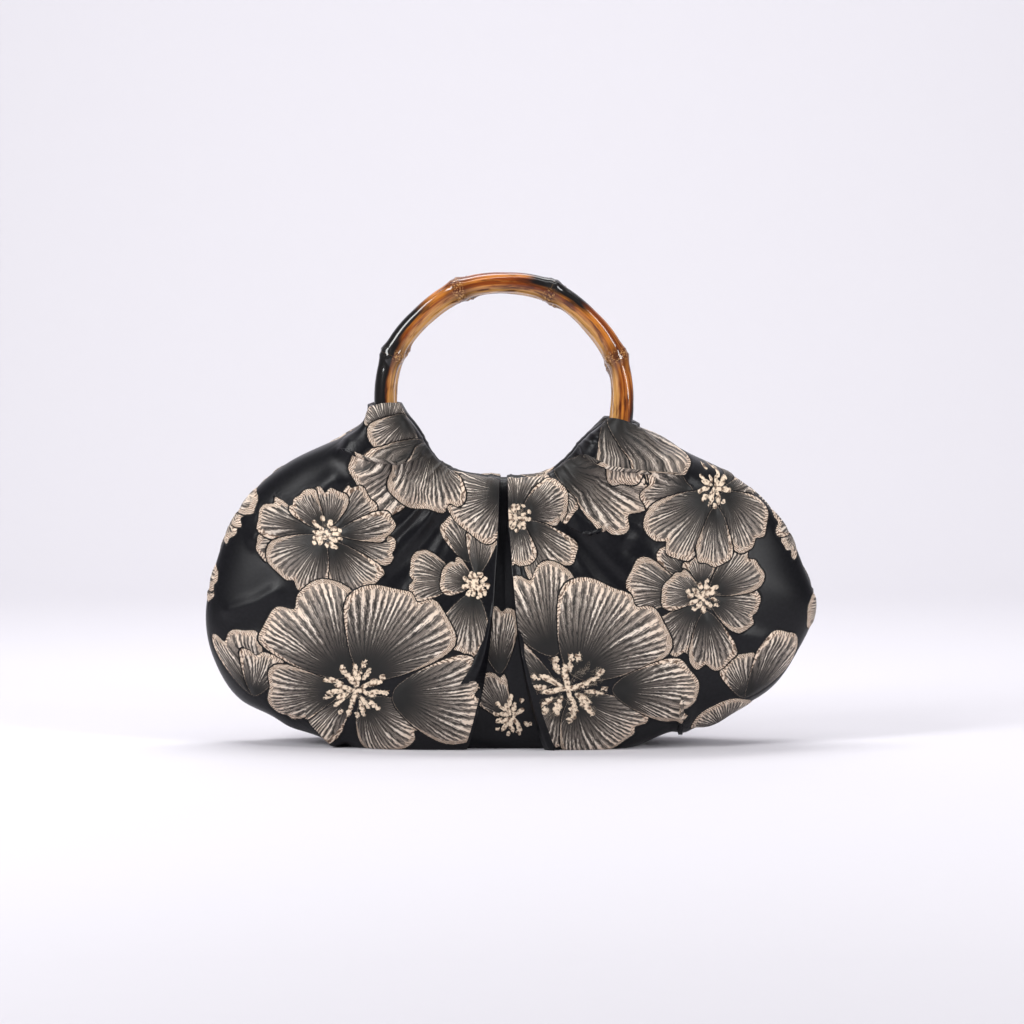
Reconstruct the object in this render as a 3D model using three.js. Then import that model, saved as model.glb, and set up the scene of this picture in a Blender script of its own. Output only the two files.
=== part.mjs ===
// A soft evening handbag with two round bamboo handles.
// Two cloth panels, front and back, meet in a seam round the sides and the bottom. The top edge of
// each panel is turned over into a casing, and a bamboo ring runs through it. Each casing ends in two
// sleeves, where the ring comes out. The cloth is pleated at the middle and gathered at the sleeves.
// Millimetres, +Z up, +X to the right, the front faces -Y, and z = 0 is what the bag stands on.
import * as THREE from "three";
import { mergeVertices } from "three/addons/utils/BufferGeometryUtils.js";

// Bag
const BAG_WIDTH = 355;
const NECK_HEIGHT = 154.5; // top of the neckline at its middle
const BELLY_DEPTH = 96; // front to back, where the bag is fullest
const CLOTH = 1.6; // brocade and what backs it
const SEAM_GAP = 0.3; // between the two panels
const SETTLE = 3; // how far the bottom is pressed flat by what it stands on

// Handles
const HANDLE_DIAMETER = 150; // outside
const CANE_DIAMETER = 12; // of the bamboo between its knots
const KNOT_COUNT = 8;
const KNOT_RISE = 1.2;
const KNOT_WIDTH_DEG = 4.5;
const KNOT_KINK = 1; // how far the cane stands out at a knot, from its line between knots
const HANDLE_SPACING = 44; // between the planes of the two rings
const HANDLE_OFFSET = -3.8; // the rings stand a little left of the bag's middle
const FRONT_KNOT_DEG = 22;
const BACK_KNOT_DEG = 18;

// Casings
const CANE_CLEARANCE = 0.5; // between the cane and the cloth round it
const CASING_RISE = 24.5; // from the ring's line to the neckline, at the middle
const HEM_DROP = 9; // how far the turned edge hangs below the ring's line
const LEFT_MOUTH_DEG = 89; // where the left sleeve ends, turned from the bottom of the ring
const RIGHT_MOUTH_DEG = 81;
const SLIT_DEG = 9; // between the sleeve's two edges, behind the ring

// Folds
const PLEAT_LIFT = 5; // of the box pleat's two lips over its floor
const PLEAT_FADE = 2.4; // how many table rows a lip takes to die away
const GATHER_LIFT = 4;
const FAN_SWING = 1.3; // above 1, a fold falls first and then swings out

// Worked out
const HALF_WIDTH = BAG_WIDTH / 2;
const HALF_BELLY = BELLY_DEPTH / 2;
const CANE = CANE_DIAMETER / 2;
const RING = HANDLE_DIAMETER / 2 - CANE;
const RING_Y = HANDLE_SPACING / 2;
const MOUTH = CANE + KNOT_KINK / 2 + CANE_CLEARANCE + CLOTH / 2; // ring's line to mid-cloth, at a mouth
const CASING = MOUTH + KNOT_RISE; // and further in, where a knot has to pass
const RING_Z = NECK_HEIGHT - CASING_RISE + RING;

// The panel, from the middle of the bag out to the sleeve's mouth, one row for each fan line of cloth.
// turn: place on the ring, as a share of the mouth's angle. wide, up: the seam's place, as shares of
// the half width and of the ring's height. rise: 1 at the neckline's full rise, 0 where the cloth is
// snug on the ring. L and R are the left and right. hug: how far the seam is drawn in to the mouth.
// depth: share of the belly. square: 2 is an ellipse, more is boxier. join: 1 where front and back are
// sewn together, 0 where the sleeve is round. snug: 1 where it lies on the cane. cells: columns of
// mesh to the next row.
const PANEL = [
  ["turn", "wideL", "upL", "riseL", "wideR", "upR", "riseR", "hug", "depth", "square", "join", "snug",
    "cells"],
  [0.0, 0.0, 0.0, 1.0, 0.0, 0.0, 1.0, 0, 0.95, 4.2, 1, 0, 2],
  [0.028, 0.18, 0.0, 1.0, 0.15, 0.0, 1.0, 0, 0.98, 4.2, 1, 0, 1],
  [0.036, 0.195, 0.0, 1.0, 0.165, 0.0, 1.0, 0, 0.98, 4.2, 1, 0, 3],
  [0.12, 0.37, 0.0, 0.99, 0.33, 0.01, 0.97, 0, 1.0, 4.0, 1, 0, 3],
  [0.22, 0.56, 0.032, 0.93, 0.5, 0.062, 0.88, 0, 1.0, 3.4, 1, 0, 3],
  [0.31, 0.735, 0.092, 0.83, 0.675, 0.1, 0.79, 0, 0.97, 2.8, 1, 0, 2],
  [0.39, 0.89, 0.15, 0.72, 0.848, 0.176, 0.76, 0, 0.93, 2.4, 1, 0, 2],
  [0.46, 0.974, 0.265, 0.61, 0.944, 0.29, 0.75, 0, 0.9, 2.1, 1, 0, 2],
  [0.53, 1.0, 0.39, 0.56, 1.0, 0.415, 0.74, 0, 0.86, 1.9, 1, 0, 2],
  [0.6, 0.97, 0.53, 0.54, 0.96, 0.535, 0.72, 0, 0.82, 1.8, 1, 0, 2],
  [0.68, 0.899, 0.685, 0.55, 0.883, 0.671, 0.69, 0, 0.76, 1.8, 1, 0, 2],
  [0.77, 0.804, 0.788, 0.55, 0.759, 0.783, 0.63, 0.1, 0.7, 1.9, 1, 0, 2],
  [0.86, 0.786, 0.806, 0.4, 0.7, 0.84, 0.46, 0.3, 0.64, 2.0, 0.75, 0.15, 2],
  [0.94, 0.685, 0.786, 0.16, 0.73, 0.918, 0.2, 0.6, 0.6, 2.0, 0.3, 0.7, 2],
  [1.0, 0.7, 0.78, 0.0, 0.64, 0.85, 0.0, 1, 0.59, 2.0, 0, 1, 1],
];

// Gathers and tucks. side: -1 left, 1 right. row: place in the panel's table. width: in rows.
// lift: share of the gather's lift. from, to: where it runs, 0 at the ring and 1 at the seam.
const FOLDS = [
  ["side", "row", "width", "lift", "from", "to"],
  [-1, 12.4, 1.4, 1.0, -0.4, 0.55],
  [-1, 10.2, 0.6, 0.8, -0.3, 0.45],
  [-1, 8.0, 0.7, 0.65, -0.3, 0.6],
  [-1, 6.1, 0.6, 0.8, -0.3, 0.7],
  [-1, 4.6, 0.4, 0.45, -0.3, 0.5],
  [-1, 4.9, 0.35, 0.8, 0.72, 1.3],
  [1, 12.4, 1.3, 1.0, -0.4, 0.6],
  [1, 10.1, 0.6, 0.9, -0.3, 0.5],
  [1, 8.1, 0.6, 0.7, -0.3, 0.45],
  [1, 6.4, 0.6, 0.9, -0.3, 0.6],
  [1, 5.0, 0.4, 0.55, -0.3, 0.45],
  [1, 4.9, 0.35, 0.8, 0.72, 1.3],
];

const PLEAT_FLOOR_ROW = 1;
const PLEAT_LIP_ROW = 2;
const CASING_ROWS = 7;
const HEM_ROWS = 1; // of them, for the hem that hangs inside
const BELLY_ROWS = 11;
const FULL_AT = 0.5; // where the belly is full, from the ring to the seam
const SEAM_LIFT = 0.35; // share of a fold's lift that the seam lets through
const SEAM_EASE = 0.12; // how far from the seam a fold begins to flatten, from the ring to the seam
const LIP_FROM = -0.5; // where the pleat's lips begin, over the casing
const LIP_EASE = 0.3; // and how far they take to rise
const FOLD_START_EASE = 0.25; // the same for a gather, at its start
const FOLD_END_EASE = 0.3; // and at its end
const NORMAL_STEP = 0.02; // between the neighbours that give the way out of the cloth
const CANE_SIDES = 10;
const CANE_STEPS = 64;

const { lerp, degToRad, clamp } = THREE.MathUtils;
const smooth = (x) => THREE.MathUtils.smoothstep(x, 0, 1);

// The rows of a table as objects, named by its first row.
function rowsOf([names, ...rows]) {
  return rows.map((row) => Object.fromEntries(names.map((name, i) => [name, row[i]])));
}

const panelRows = rowsOf(PANEL);
const foldRows = rowsOf(FOLDS);
const LAST = panelRows.length - 1;

// A column of the panel's table at any place between its rows, as a smooth curve through them.
function column(name, place) {
  const i = Math.min(Math.floor(place), LAST - 1);
  const t = place - i;
  const at = (k) => panelRows[clamp(k, 0, LAST)][name];
  const [a, b, c, d] = [at(i - 1), at(i), at(i + 1), at(i + 2)];
  const slopeB = (c - a) / 2;
  const slopeC = (d - b) / 2;
  const t2 = t * t;
  const t3 = t2 * t;
  return b * (2 * t3 - 3 * t2 + 1) + slopeB * (t3 - 2 * t2 + t) + c * (3 * t2 - 2 * t3) + slopeC * (t3 - t2);
}

// Where the ring's line passes at a place on one side (-1 left, 1 right).
function ringPoint(side, turn) {
  const angle = degToRad(turn * (side < 0 ? LEFT_MOUTH_DEG : RIGHT_MOUTH_DEG));
  const out = new THREE.Vector2(side * Math.sin(angle), -Math.cos(angle));
  return { out, x: HANDLE_OFFSET + RING * out.x, z: RING_Z + RING * out.y };
}

// A point round the ring's line at one place: outward from the ring's centre, and to the front.
function besideRing(ring, outward, front) {
  return new THREE.Vector3(ring.x + ring.out.x * outward, -(RING_Y + front), ring.z + ring.out.y * outward);
}

// Where the seam passes at a place on one side.
function seamPoint(side, place) {
  const mouth = besideRing(ringPoint(side, 1), MOUTH, 0);
  const wide = column(side < 0 ? "wideL" : "wideR", place) * (HALF_WIDTH - CLOTH / 2);
  const up = column(side < 0 ? "upL" : "upR", place) * RING_Z - SETTLE;
  return new THREE.Vector3(side * wide, 0, up).lerp(mouth, column("hug", place));
}

// The middle of the front panel's cloth. across: table rows, negative to the left. along: -1 at the
// hem inside the casing, 0 in front of the ring, 1 at the seam.
function midCloth(across, along) {
  const side = across < 0 ? -1 : 1;
  const place = Math.abs(across);
  const ring = ringPoint(side, column("turn", place));
  const casing = lerp(CASING, MOUTH, column("snug", place));
  const join = column("join", place);
  if (along <= 0) {
    const hem = HEM_ROWS / CASING_ROWS;
    const past = clamp((-along - 1 + hem) / hem, 0, 1);
    const angle = Math.PI * Math.min(1, -along / (1 - hem));
    const rise = column(side < 0 ? "riseL" : "riseR", place);
    const top = lerp(casing, CASING_RISE - CLOTH / 2, rise);
    return besideRing(ring, past * HEM_DROP * join - top * Math.sin(angle), casing * Math.cos(angle));
  }
  const round = degToRad(180 - SLIT_DEG) * along;
  const sleeve = besideRing(ring, casing * Math.sin(round), casing * Math.cos(round));
  const seam = seamPoint(side, place);
  const square = column("square", place);
  const angle = (along * Math.PI) / 2;
  const reach = (Math.sin(angle) ** square + Math.cos(angle) ** square) ** (-1 / square);
  const run = reach * Math.sin(angle);
  const full = lerp(RING_Y + casing, column("depth", place) * HALF_BELLY, smooth(run / FULL_AT));
  const belly = new THREE.Vector3(
    lerp(ring.x, seam.x, run ** FAN_SWING),
    -lerp(SEAM_GAP / 2, full, reach * Math.cos(angle)),
    lerp(ring.z, seam.z, run),
  );
  return sleeve.lerp(belly, join);
}

// How far the folds lift the cloth there.
function foldLift(across, along) {
  const place = Math.abs(across);
  const step = (place - PLEAT_FLOOR_ROW) / (PLEAT_LIP_ROW - PLEAT_FLOOR_ROW);
  const beyond = Math.max(0, place - PLEAT_LIP_ROW) / PLEAT_FADE;
  const overCasing = smooth((along - LIP_FROM) / LIP_EASE);
  let lift = PLEAT_LIFT * smooth(step) * Math.exp(-beyond * beyond) * overCasing;
  for (const fold of foldRows) {
    if (fold.side * across < 0) continue;
    const off = (place - fold.row) / fold.width;
    const ends = smooth((along - fold.from) / FOLD_START_EASE) * smooth((fold.to - along) / FOLD_END_EASE);
    lift += GATHER_LIFT * fold.lift * Math.exp(-off * off) * ends;
  }
  return lift * lerp(SEAM_LIFT, 1, smooth((1 - along) / SEAM_EASE));
}

// The way out of the cloth, from its neighbours each way.
function outward(across, along) {
  const step = NORMAL_STEP;
  const at = (u, v) => midCloth(clamp(u, -LAST, LAST), clamp(v, -1, 1));
  const acrossWay = at(across + step, along).sub(at(across - step, along));
  const alongWay = at(across, along + step).sub(at(across, along - step));
  return alongWay.cross(acrossWay).normalize();
}

// Places from one end of a panel to the other, with the named number of cells to each table row.
function acrossPlaces() {
  const half = [];
  for (let row = 0; row < LAST; row++) {
    const { cells } = panelRows[row];
    for (let cell = 1; cell <= cells; cell++) half.push(row + cell / cells);
  }
  return [...half.map((place) => -place).reverse(), 0, ...half];
}

function alongPlaces() {
  const places = [];
  for (let row = -CASING_ROWS; row < 0; row++) places.push(row / CASING_ROWS);
  for (let row = 0; row <= BELLY_ROWS; row++) places.push(row / BELLY_ROWS);
  return places;
}

// One panel as a closed wall. A box with the panel's cells is bent to the cloth: its width goes
// across the bag, its height from the hem to the seam, its depth through the cloth.
function panel(name, back, material) {
  const across = acrossPlaces();
  const along = alongPlaces();
  const [wide, high] = [across.length - 1, along.length - 1];
  const box = new THREE.BoxGeometry(wide, high, 1, wide, high, 1);
  box.deleteAttribute("normal");
  box.deleteAttribute("uv");
  const geometry = mergeVertices(box);
  const position = geometry.getAttribute("position");
  const corner = new THREE.Vector3();
  for (let i = 0; i < position.count; i++) {
    corner.fromBufferAttribute(position, i);
    const u = across[Math.round(corner.x + wide / 2)];
    const v = along[Math.round(high / 2 - corner.y)];
    const outside = corner.z > 0;
    const proud = foldLift(u, v) + (outside ? CLOTH / 2 : -CLOTH / 2);
    const point = midCloth(u, v).addScaledVector(outward(u, v), proud);
    point.z = Math.max(point.z, outside ? 0 : CLOTH);
    point.y = Math.min(point.y, -SEAM_GAP / 2);
    position.setXYZ(i, point.x, point.y, point.z);
  }
  if (back) {
    geometry.scale(1, -1, 1);
    turnFaces(geometry);
  }
  const mesh = new THREE.Mesh(geometry, material);
  mesh.name = name;
  return mesh;
}

// Turns every face round, after a mirroring.
function turnFaces(geometry) {
  const index = geometry.getIndex();
  for (let i = 0; i < index.count; i += 3) {
    const second = index.getX(i + 1);
    index.setX(i + 1, index.getX(i + 2));
    index.setX(i + 2, second);
  }
}

// A ring of bamboo: a torus that swells and stands out at each knot.
function handle(name, y, knotDeg, material) {
  const torus = new THREE.TorusGeometry(RING, CANE, CANE_SIDES, CANE_STEPS);
  torus.deleteAttribute("normal");
  torus.deleteAttribute("uv");
  const geometry = mergeVertices(torus);
  const position = geometry.getAttribute("position");
  const pitch = (2 * Math.PI) / KNOT_COUNT;
  const knotWidth = degToRad(KNOT_WIDTH_DEG);
  const point = new THREE.Vector3();
  for (let i = 0; i < position.count; i++) {
    point.fromBufferAttribute(position, i);
    const angle = Math.atan2(point.y, point.x);
    const from = angle - degToRad(knotDeg);
    const toKnot = from - pitch * Math.round(from / pitch);
    const swell = 1 + (KNOT_RISE / CANE) * Math.exp(-((toKnot / knotWidth) ** 2));
    const kink = KNOT_KINK * (0.5 - Math.abs(toKnot) / (pitch / 2));
    const off = Math.hypot(point.x, point.y) - RING;
    const radius = RING + kink + off * swell;
    position.setXYZ(i, radius * Math.cos(angle), radius * Math.sin(angle), point.z * swell);
  }
  geometry.rotateX(Math.PI / 2);
  const mesh = new THREE.Mesh(geometry, material);
  mesh.name = name;
  mesh.position.set(HANDLE_OFFSET, y, RING_Z);
  return mesh;
}

const brocade = new THREE.MeshStandardMaterial({ color: 0x2a2a2e, roughness: 0.5, metalness: 0 });
const bamboo = new THREE.MeshStandardMaterial({ color: 0xa5662b, roughness: 0.22, metalness: 0 });

const bag = new THREE.Group();
bag.add(panel("front_panel", false, brocade));
bag.add(panel("back_panel", true, brocade));
bag.add(handle("front_handle", -RING_Y, FRONT_KNOT_DEG, bamboo));
bag.add(handle("back_handle", RING_Y, BACK_KNOT_DEG, bamboo));

export default bag;
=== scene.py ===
"""A soft evening handbag of floral brocade on two round bamboo handles.

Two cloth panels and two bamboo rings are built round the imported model's frame. The panels follow the
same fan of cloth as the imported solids: each line of the fan runs from the hem inside the casing, over
the casing, down in front of the ring and out to the seam. Sizes are in millimetres, with +Z up and
the front of the bag facing -Y, and meshes are made in metres.
"""

import logging
import math
from dataclasses import dataclass, field, replace
from enum import Enum

import bpy
import numpy as np
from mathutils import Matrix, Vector


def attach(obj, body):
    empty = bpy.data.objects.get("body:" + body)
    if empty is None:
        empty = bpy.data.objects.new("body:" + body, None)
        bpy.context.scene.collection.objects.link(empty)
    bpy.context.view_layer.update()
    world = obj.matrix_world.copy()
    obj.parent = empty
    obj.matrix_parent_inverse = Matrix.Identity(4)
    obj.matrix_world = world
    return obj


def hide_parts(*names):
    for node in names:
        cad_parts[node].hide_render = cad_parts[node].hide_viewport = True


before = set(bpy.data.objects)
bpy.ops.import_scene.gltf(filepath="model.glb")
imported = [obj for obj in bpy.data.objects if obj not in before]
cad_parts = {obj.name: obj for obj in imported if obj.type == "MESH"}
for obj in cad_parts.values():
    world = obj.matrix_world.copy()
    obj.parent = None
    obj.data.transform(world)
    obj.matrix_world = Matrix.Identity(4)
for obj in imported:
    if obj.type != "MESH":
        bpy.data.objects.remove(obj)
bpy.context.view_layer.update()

LOG = logging.getLogger("handbag")
MM = 0.001
BODY = "root"
TURN = 2 * math.pi
VALUE = "NodeSocketFloat"
VECTOR = "NodeSocketVector"
COLOR = "NodeSocketColor"


class Side(Enum):
    """The front or the back of the bag, with the sign of its Y."""

    FRONT = -1
    BACK = 1


class Petal(Enum):
    """What a woven figure is: a petal, or the stamens at a bloom's heart."""

    LEAF = 0.0
    STAMENS = 1.0


def smooth(x: np.ndarray) -> np.ndarray:
    """Ease from 0 to 1 as x goes from 0 to 1."""
    t = np.clip(x, 0.0, 1.0)
    return t * t * (3.0 - 2.0 * t)


def lerp(a: np.ndarray, b: np.ndarray, t: np.ndarray) -> np.ndarray:
    """Mix a and b by t."""
    return a + (b - a) * t


def unit(v: np.ndarray) -> np.ndarray:
    """Scale the last axis of v to length 1."""
    return v / np.maximum(np.linalg.norm(v, axis=-1, keepdims=True), 1e-9)


def put_in_scene(name: str, mesh: bpy.types.Mesh) -> bpy.types.Object:
    """Link a mesh to the scene as an object at the origin.

    Args:
        name: The object's name.
        mesh: Its mesh, with its place in it.

    Returns:
        The new object.
    """
    piece = bpy.data.objects.new(name, mesh)
    bpy.context.scene.collection.objects.link(piece)
    return piece


def add_attribute(mesh: bpy.types.Mesh, name: str, values: np.ndarray, domain: str = "POINT") -> None:
    """Store a vector for every point or face corner of a mesh.

    Args:
        mesh: The mesh.
        name: The attribute's name, which materials read.
        values: One row of three numbers for each point or corner.
        domain: POINT or CORNER.
    """
    layer = mesh.attributes.new(name, "FLOAT_VECTOR", domain)
    layer.data.foreach_set("vector", np.ascontiguousarray(values, np.float32).ravel())


class Signal:
    """One value or vector in a shader, which plain arithmetic turns into nodes."""

    def __init__(self, net: "Net", socket: bpy.types.NodeSocket) -> None:
        """Keep the net and the socket that the value comes from."""
        self.net = net
        self.socket = socket

    def __add__(self, other: "Signal | float") -> "Signal":
        """Add."""
        return self.net.math("ADD", self, other)

    def __sub__(self, other: "Signal | float") -> "Signal":
        """Subtract."""
        return self.net.math("SUBTRACT", self, other)

    def __rsub__(self, other: float) -> "Signal":
        """Subtract from a number."""
        return self.net.math("SUBTRACT", other, self)

    def __mul__(self, other: "Signal | float") -> "Signal":
        """Multiply."""
        return self.net.math("MULTIPLY", self, other)

    def __truediv__(self, other: "Signal | float") -> "Signal":
        """Divide."""
        return self.net.math("DIVIDE", self, other)

    __radd__ = __add__
    __rmul__ = __mul__


@dataclass
class Net:
    """A shader's node tree, with short calls that add nodes to it."""

    tree: bpy.types.NodeTree

    def plug(self, value: "Signal | float | tuple", socket: bpy.types.NodeSocket) -> None:
        """Link a signal to a socket, or set the socket to a number or colour."""
        if isinstance(value, Signal):
            self.tree.links.new(value.socket, socket)
        else:
            socket.default_value = value

    def node(self, kind: str, out: int | str = 0, inputs: dict | None = None, **settings: object) -> Signal:
        """Add a node.

        Args:
            kind: The node's type.
            out: Which output to give back.
            inputs: What goes into its sockets, by name or number.
            settings: Its own settings.

        Returns:
            The chosen output.
        """
        made = self.tree.nodes.new(kind)
        for name, value in settings.items():
            setattr(made, name, value)
        for name, value in (inputs or {}).items():
            self.plug(value, made.inputs[name])
        return Signal(self, made.outputs[out])

    def math(self, operation: str, *values: "Signal | float") -> Signal:
        """Add a math node."""
        return self.node("ShaderNodeMath", inputs=dict(enumerate(values)), operation=operation)

    def ease(self, value: Signal, start: float, end: float) -> Signal:
        """Rise smoothly from 0 at start to 1 at end, or fall where end is the smaller."""
        low, high = (start, end) if start < end else (end, start)
        rise = self.node("ShaderNodeMapRange", inputs={"Value": value, "From Min": low, "From Max": high},
                         interpolation_type="SMOOTHSTEP")
        return rise if start < end else 1.0 - rise

    def mix(self, share: "Signal | float", a: "Signal | tuple", b: "Signal | tuple",
            blend: str = "MIX") -> Signal:
        """Mix two colours."""
        made = self.tree.nodes.new("ShaderNodeMix")
        made.data_type = "RGBA"
        made.blend_type = blend
        for index, value in ((0, share), (6, a), (7, b)):
            self.plug((*value, 1.0) if isinstance(value, tuple) else value, made.inputs[index])
        return Signal(self, made.outputs[2])

    def blend(self, share: Signal, a: "Signal | float", b: "Signal | float") -> Signal:
        """Mix two numbers."""
        return self.node("ShaderNodeMix", inputs={0: share, 2: a, 3: b})

    def parts(self, vector: Signal) -> list[Signal]:
        """Split a vector into its three numbers."""
        made = self.tree.nodes.new("ShaderNodeSeparateXYZ")
        self.plug(vector, made.inputs[0])
        return [Signal(self, made.outputs[k]) for k in range(3)]

    def vector(self, x: "Signal | float", y: "Signal | float", z: "Signal | float") -> Signal:
        """Join three numbers into a vector."""
        return self.node("ShaderNodeCombineXYZ", inputs={0: x, 1: y, 2: z})

    def noise(self, place: Signal, scale: float, detail: float = 2.0) -> Signal:
        """Add soft noise from about 0 to 1."""
        return self.node("ShaderNodeTexNoise", inputs={"Vector": place, "Scale": scale, "Detail": detail})

    def attribute(self, name: str) -> Signal:
        """Read a vector that the mesh carries."""
        return self.node("ShaderNodeAttribute", out="Vector", attribute_name=name)

    def group(self, tree: bpy.types.NodeTree, inputs: dict) -> dict[str, Signal]:
        """Place a node group and give all its outputs by name."""
        made = self.tree.nodes.new("ShaderNodeGroup")
        made.node_tree = tree
        for name, value in inputs.items():
            self.plug(value, made.inputs[name])
        return {out.name: Signal(self, out) for out in made.outputs}


def new_group(name: str, inputs: dict[str, str],
              outputs: dict[str, str]) -> tuple[Net, dict[str, Signal], bpy.types.Node]:
    """Start a shader node group with named sockets.

    Args:
        name: The group's name.
        inputs: Socket types by name.
        outputs: Socket types by name.

    Returns:
        The net inside, its inputs as signals by name, and its output node.
    """
    tree = bpy.data.node_groups.new(name, "ShaderNodeTree")
    for sockets, way in ((inputs, "INPUT"), (outputs, "OUTPUT")):
        for label, kind in sockets.items():
            tree.interface.new_socket(label, in_out=way, socket_type=kind)
    net = Net(tree)
    entry = tree.nodes.new("NodeGroupInput")
    leave = tree.nodes.new("NodeGroupOutput")
    return net, {out.name: Signal(net, out) for out in entry.outputs if out.name}, leave


@dataclass(frozen=True)
class RingSizes:
    """The bamboo rings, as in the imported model."""

    diameter: float = 150.0
    cane_diameter: float = 12.0
    knot_count: int = 8
    knot_rise: float = 1.2
    kink: float = 1.0
    spacing: float = 44.0
    offset: float = -3.8
    centre_z: float = 199.0
    front_knot_deg: float = 22.0
    back_knot_deg: float = 18.0

    @property
    def cane(self) -> float:
        """Half the cane's thickness."""
        return self.cane_diameter / 2

    @property
    def line(self) -> float:
        """Radius of the ring's centre line."""
        return self.diameter / 2 - self.cane


# The fan of cloth lines, from the middle of the bag out to the end of a sleeve. Each row is one line:
# its share of the turn to the mouth, the seam's place and the casing's height on the left and right,
# how closely it hugs the ring, its depth and squareness, and the mesh's cells up to the next line.
FAN_NAMES = ("turn", "wide_l", "up_l", "rise_l", "wide_r", "up_r", "rise_r", "hug", "depth", "square",
             "join", "snug", "cells")
FAN = (
    (0.0, 0.0, 0.0, 1.0, 0.0, 0.0, 1.0, 0, 0.95, 4.2, 1, 0, 17),
    (0.028, 0.18, 0.0, 1.0, 0.15, 0.0, 1.0, 0, 0.98, 4.2, 1, 0, 14),
    (0.036, 0.195, 0.0, 1.0, 0.165, 0.0, 1.0, 0, 0.98, 4.2, 1, 0, 19),
    (0.12, 0.37, 0.0, 0.99, 0.33, 0.01, 0.97, 0, 1.0, 4.0, 1, 0, 21),
    (0.22, 0.56, 0.032, 0.93, 0.5, 0.062, 0.88, 0, 1.0, 3.4, 1, 0, 19),
    (0.31, 0.735, 0.092, 0.83, 0.675, 0.1, 0.79, 0, 0.97, 2.8, 1, 0, 18),
    (0.39, 0.89, 0.15, 0.72, 0.848, 0.176, 0.76, 0, 0.93, 2.4, 1, 0, 16),
    (0.46, 0.974, 0.265, 0.61, 0.944, 0.29, 0.75, 0, 0.9, 2.1, 1, 0, 12),
    (0.53, 1.0, 0.39, 0.56, 1.0, 0.415, 0.74, 0, 0.86, 1.9, 1, 0, 12),
    (0.6, 0.97, 0.53, 0.54, 0.96, 0.535, 0.72, 0, 0.82, 1.8, 1, 0, 12),
    (0.68, 0.899, 0.685, 0.55, 0.883, 0.671, 0.69, 0, 0.76, 1.8, 1, 0, 14),
    (0.77, 0.804, 0.788, 0.55, 0.759, 0.783, 0.63, 0.1, 0.7, 1.9, 1, 0, 16),
    (0.86, 0.786, 0.806, 0.4, 0.7, 0.84, 0.46, 0.3, 0.64, 2.0, 0.75, 0.15, 16),
    (0.94, 0.685, 0.786, 0.16, 0.73, 0.918, 0.2, 0.6, 0.6, 2.0, 0.3, 0.7, 11),
    (1.0, 0.7, 0.78, 0.0, 0.64, 0.85, 0.0, 1, 0.59, 2.0, 0, 1, 1),
)

# The gathers, by side and fan row, with width in rows, lift in millimetres, and where they run.
FOLD_NAMES = ("side", "row", "width", "lift", "start", "end")
FOLDS = (
    (-1, 12.4, 1.4, 4.0, -0.4, 0.55),
    (-1, 10.2, 0.6, 3.2, -0.3, 0.45),
    (-1, 8.0, 0.7, 2.6, -0.3, 0.6),
    (-1, 6.1, 0.6, 3.2, -0.3, 0.7),
    (-1, 4.6, 0.4, 1.8, -0.3, 0.5),
    (-1, 4.9, 0.35, 3.2, 0.72, 1.3),
    (1, 12.4, 1.3, 4.0, -0.4, 0.6),
    (1, 10.1, 0.6, 3.6, -0.3, 0.5),
    (1, 8.1, 0.6, 2.8, -0.3, 0.45),
    (1, 6.4, 0.6, 3.6, -0.3, 0.6),
    (1, 5.0, 0.4, 2.2, -0.3, 0.45),
    (1, 4.9, 0.35, 3.2, 0.72, 1.3),
)


@dataclass(frozen=True)
class Tuck:
    """A fold across the fan: its line as the camera sees it, left to right, on the front ring's plane.

    The cloth above the line is lifted over its reach, and below the line it drops within the edge. A
    swing carries the upper cloth down over the lower cloth, so that they overlap.
    """

    line: tuple[tuple[float, float], ...]
    lift: float
    reach: float
    edge: float
    swing: float = 0.0
    half: float = 5.0
    ease: float = 8.0
    overrun: float = 3.0
    corner: float = 2.0

    def moves(self, seen: np.ndarray) -> tuple[np.ndarray, np.ndarray]:
        """Give how far the tuck lifts the cloth at each place, and slides it in its plane (x, z)."""
        parts = []
        for start, end in zip(self.line[:-1], self.line[1:]):
            way = np.array(end, float) - np.array(start)
            length = np.hypot(*way)
            away = seen - np.array(start)
            share = (away @ way) / length ** 2
            off = away - np.clip(share, 0, 1)[..., None] * way
            below = (way[1] * away[..., 0] - way[0] * away[..., 1]) / length
            parts.append((np.hypot(off[..., 0], off[..., 1]), below, np.array([way[1], -way[0]]) / length,
                          share * length, (1 - share) * length))
        far = np.stack([part[0] for part in parts])
        nearest = far.argmin(0)
        best = far.min(0)
        below = np.take_along_axis(np.stack([part[1] for part in parts]), nearest[None], 0)[0]
        deep = best * np.where(below > 0, 1, -1)
        weight = np.exp(-(far - best) / self.corner)
        down = unit(sum(w[..., None] * part[2] for w, part in zip(weight, parts)))
        ends = smooth((parts[0][3] + self.overrun) / self.ease)
        ends = ends * smooth((parts[-1][4] + self.overrun) / self.ease)
        width = np.where(deep < 0, self.reach, self.edge)
        lift = self.lift * np.exp(-(deep / width) ** 2) * ends
        fold = np.clip(deep / self.half, -1, 1)
        return lift, down * (-self.swing * np.sin(np.pi * fold) * ends)[..., None]


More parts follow.
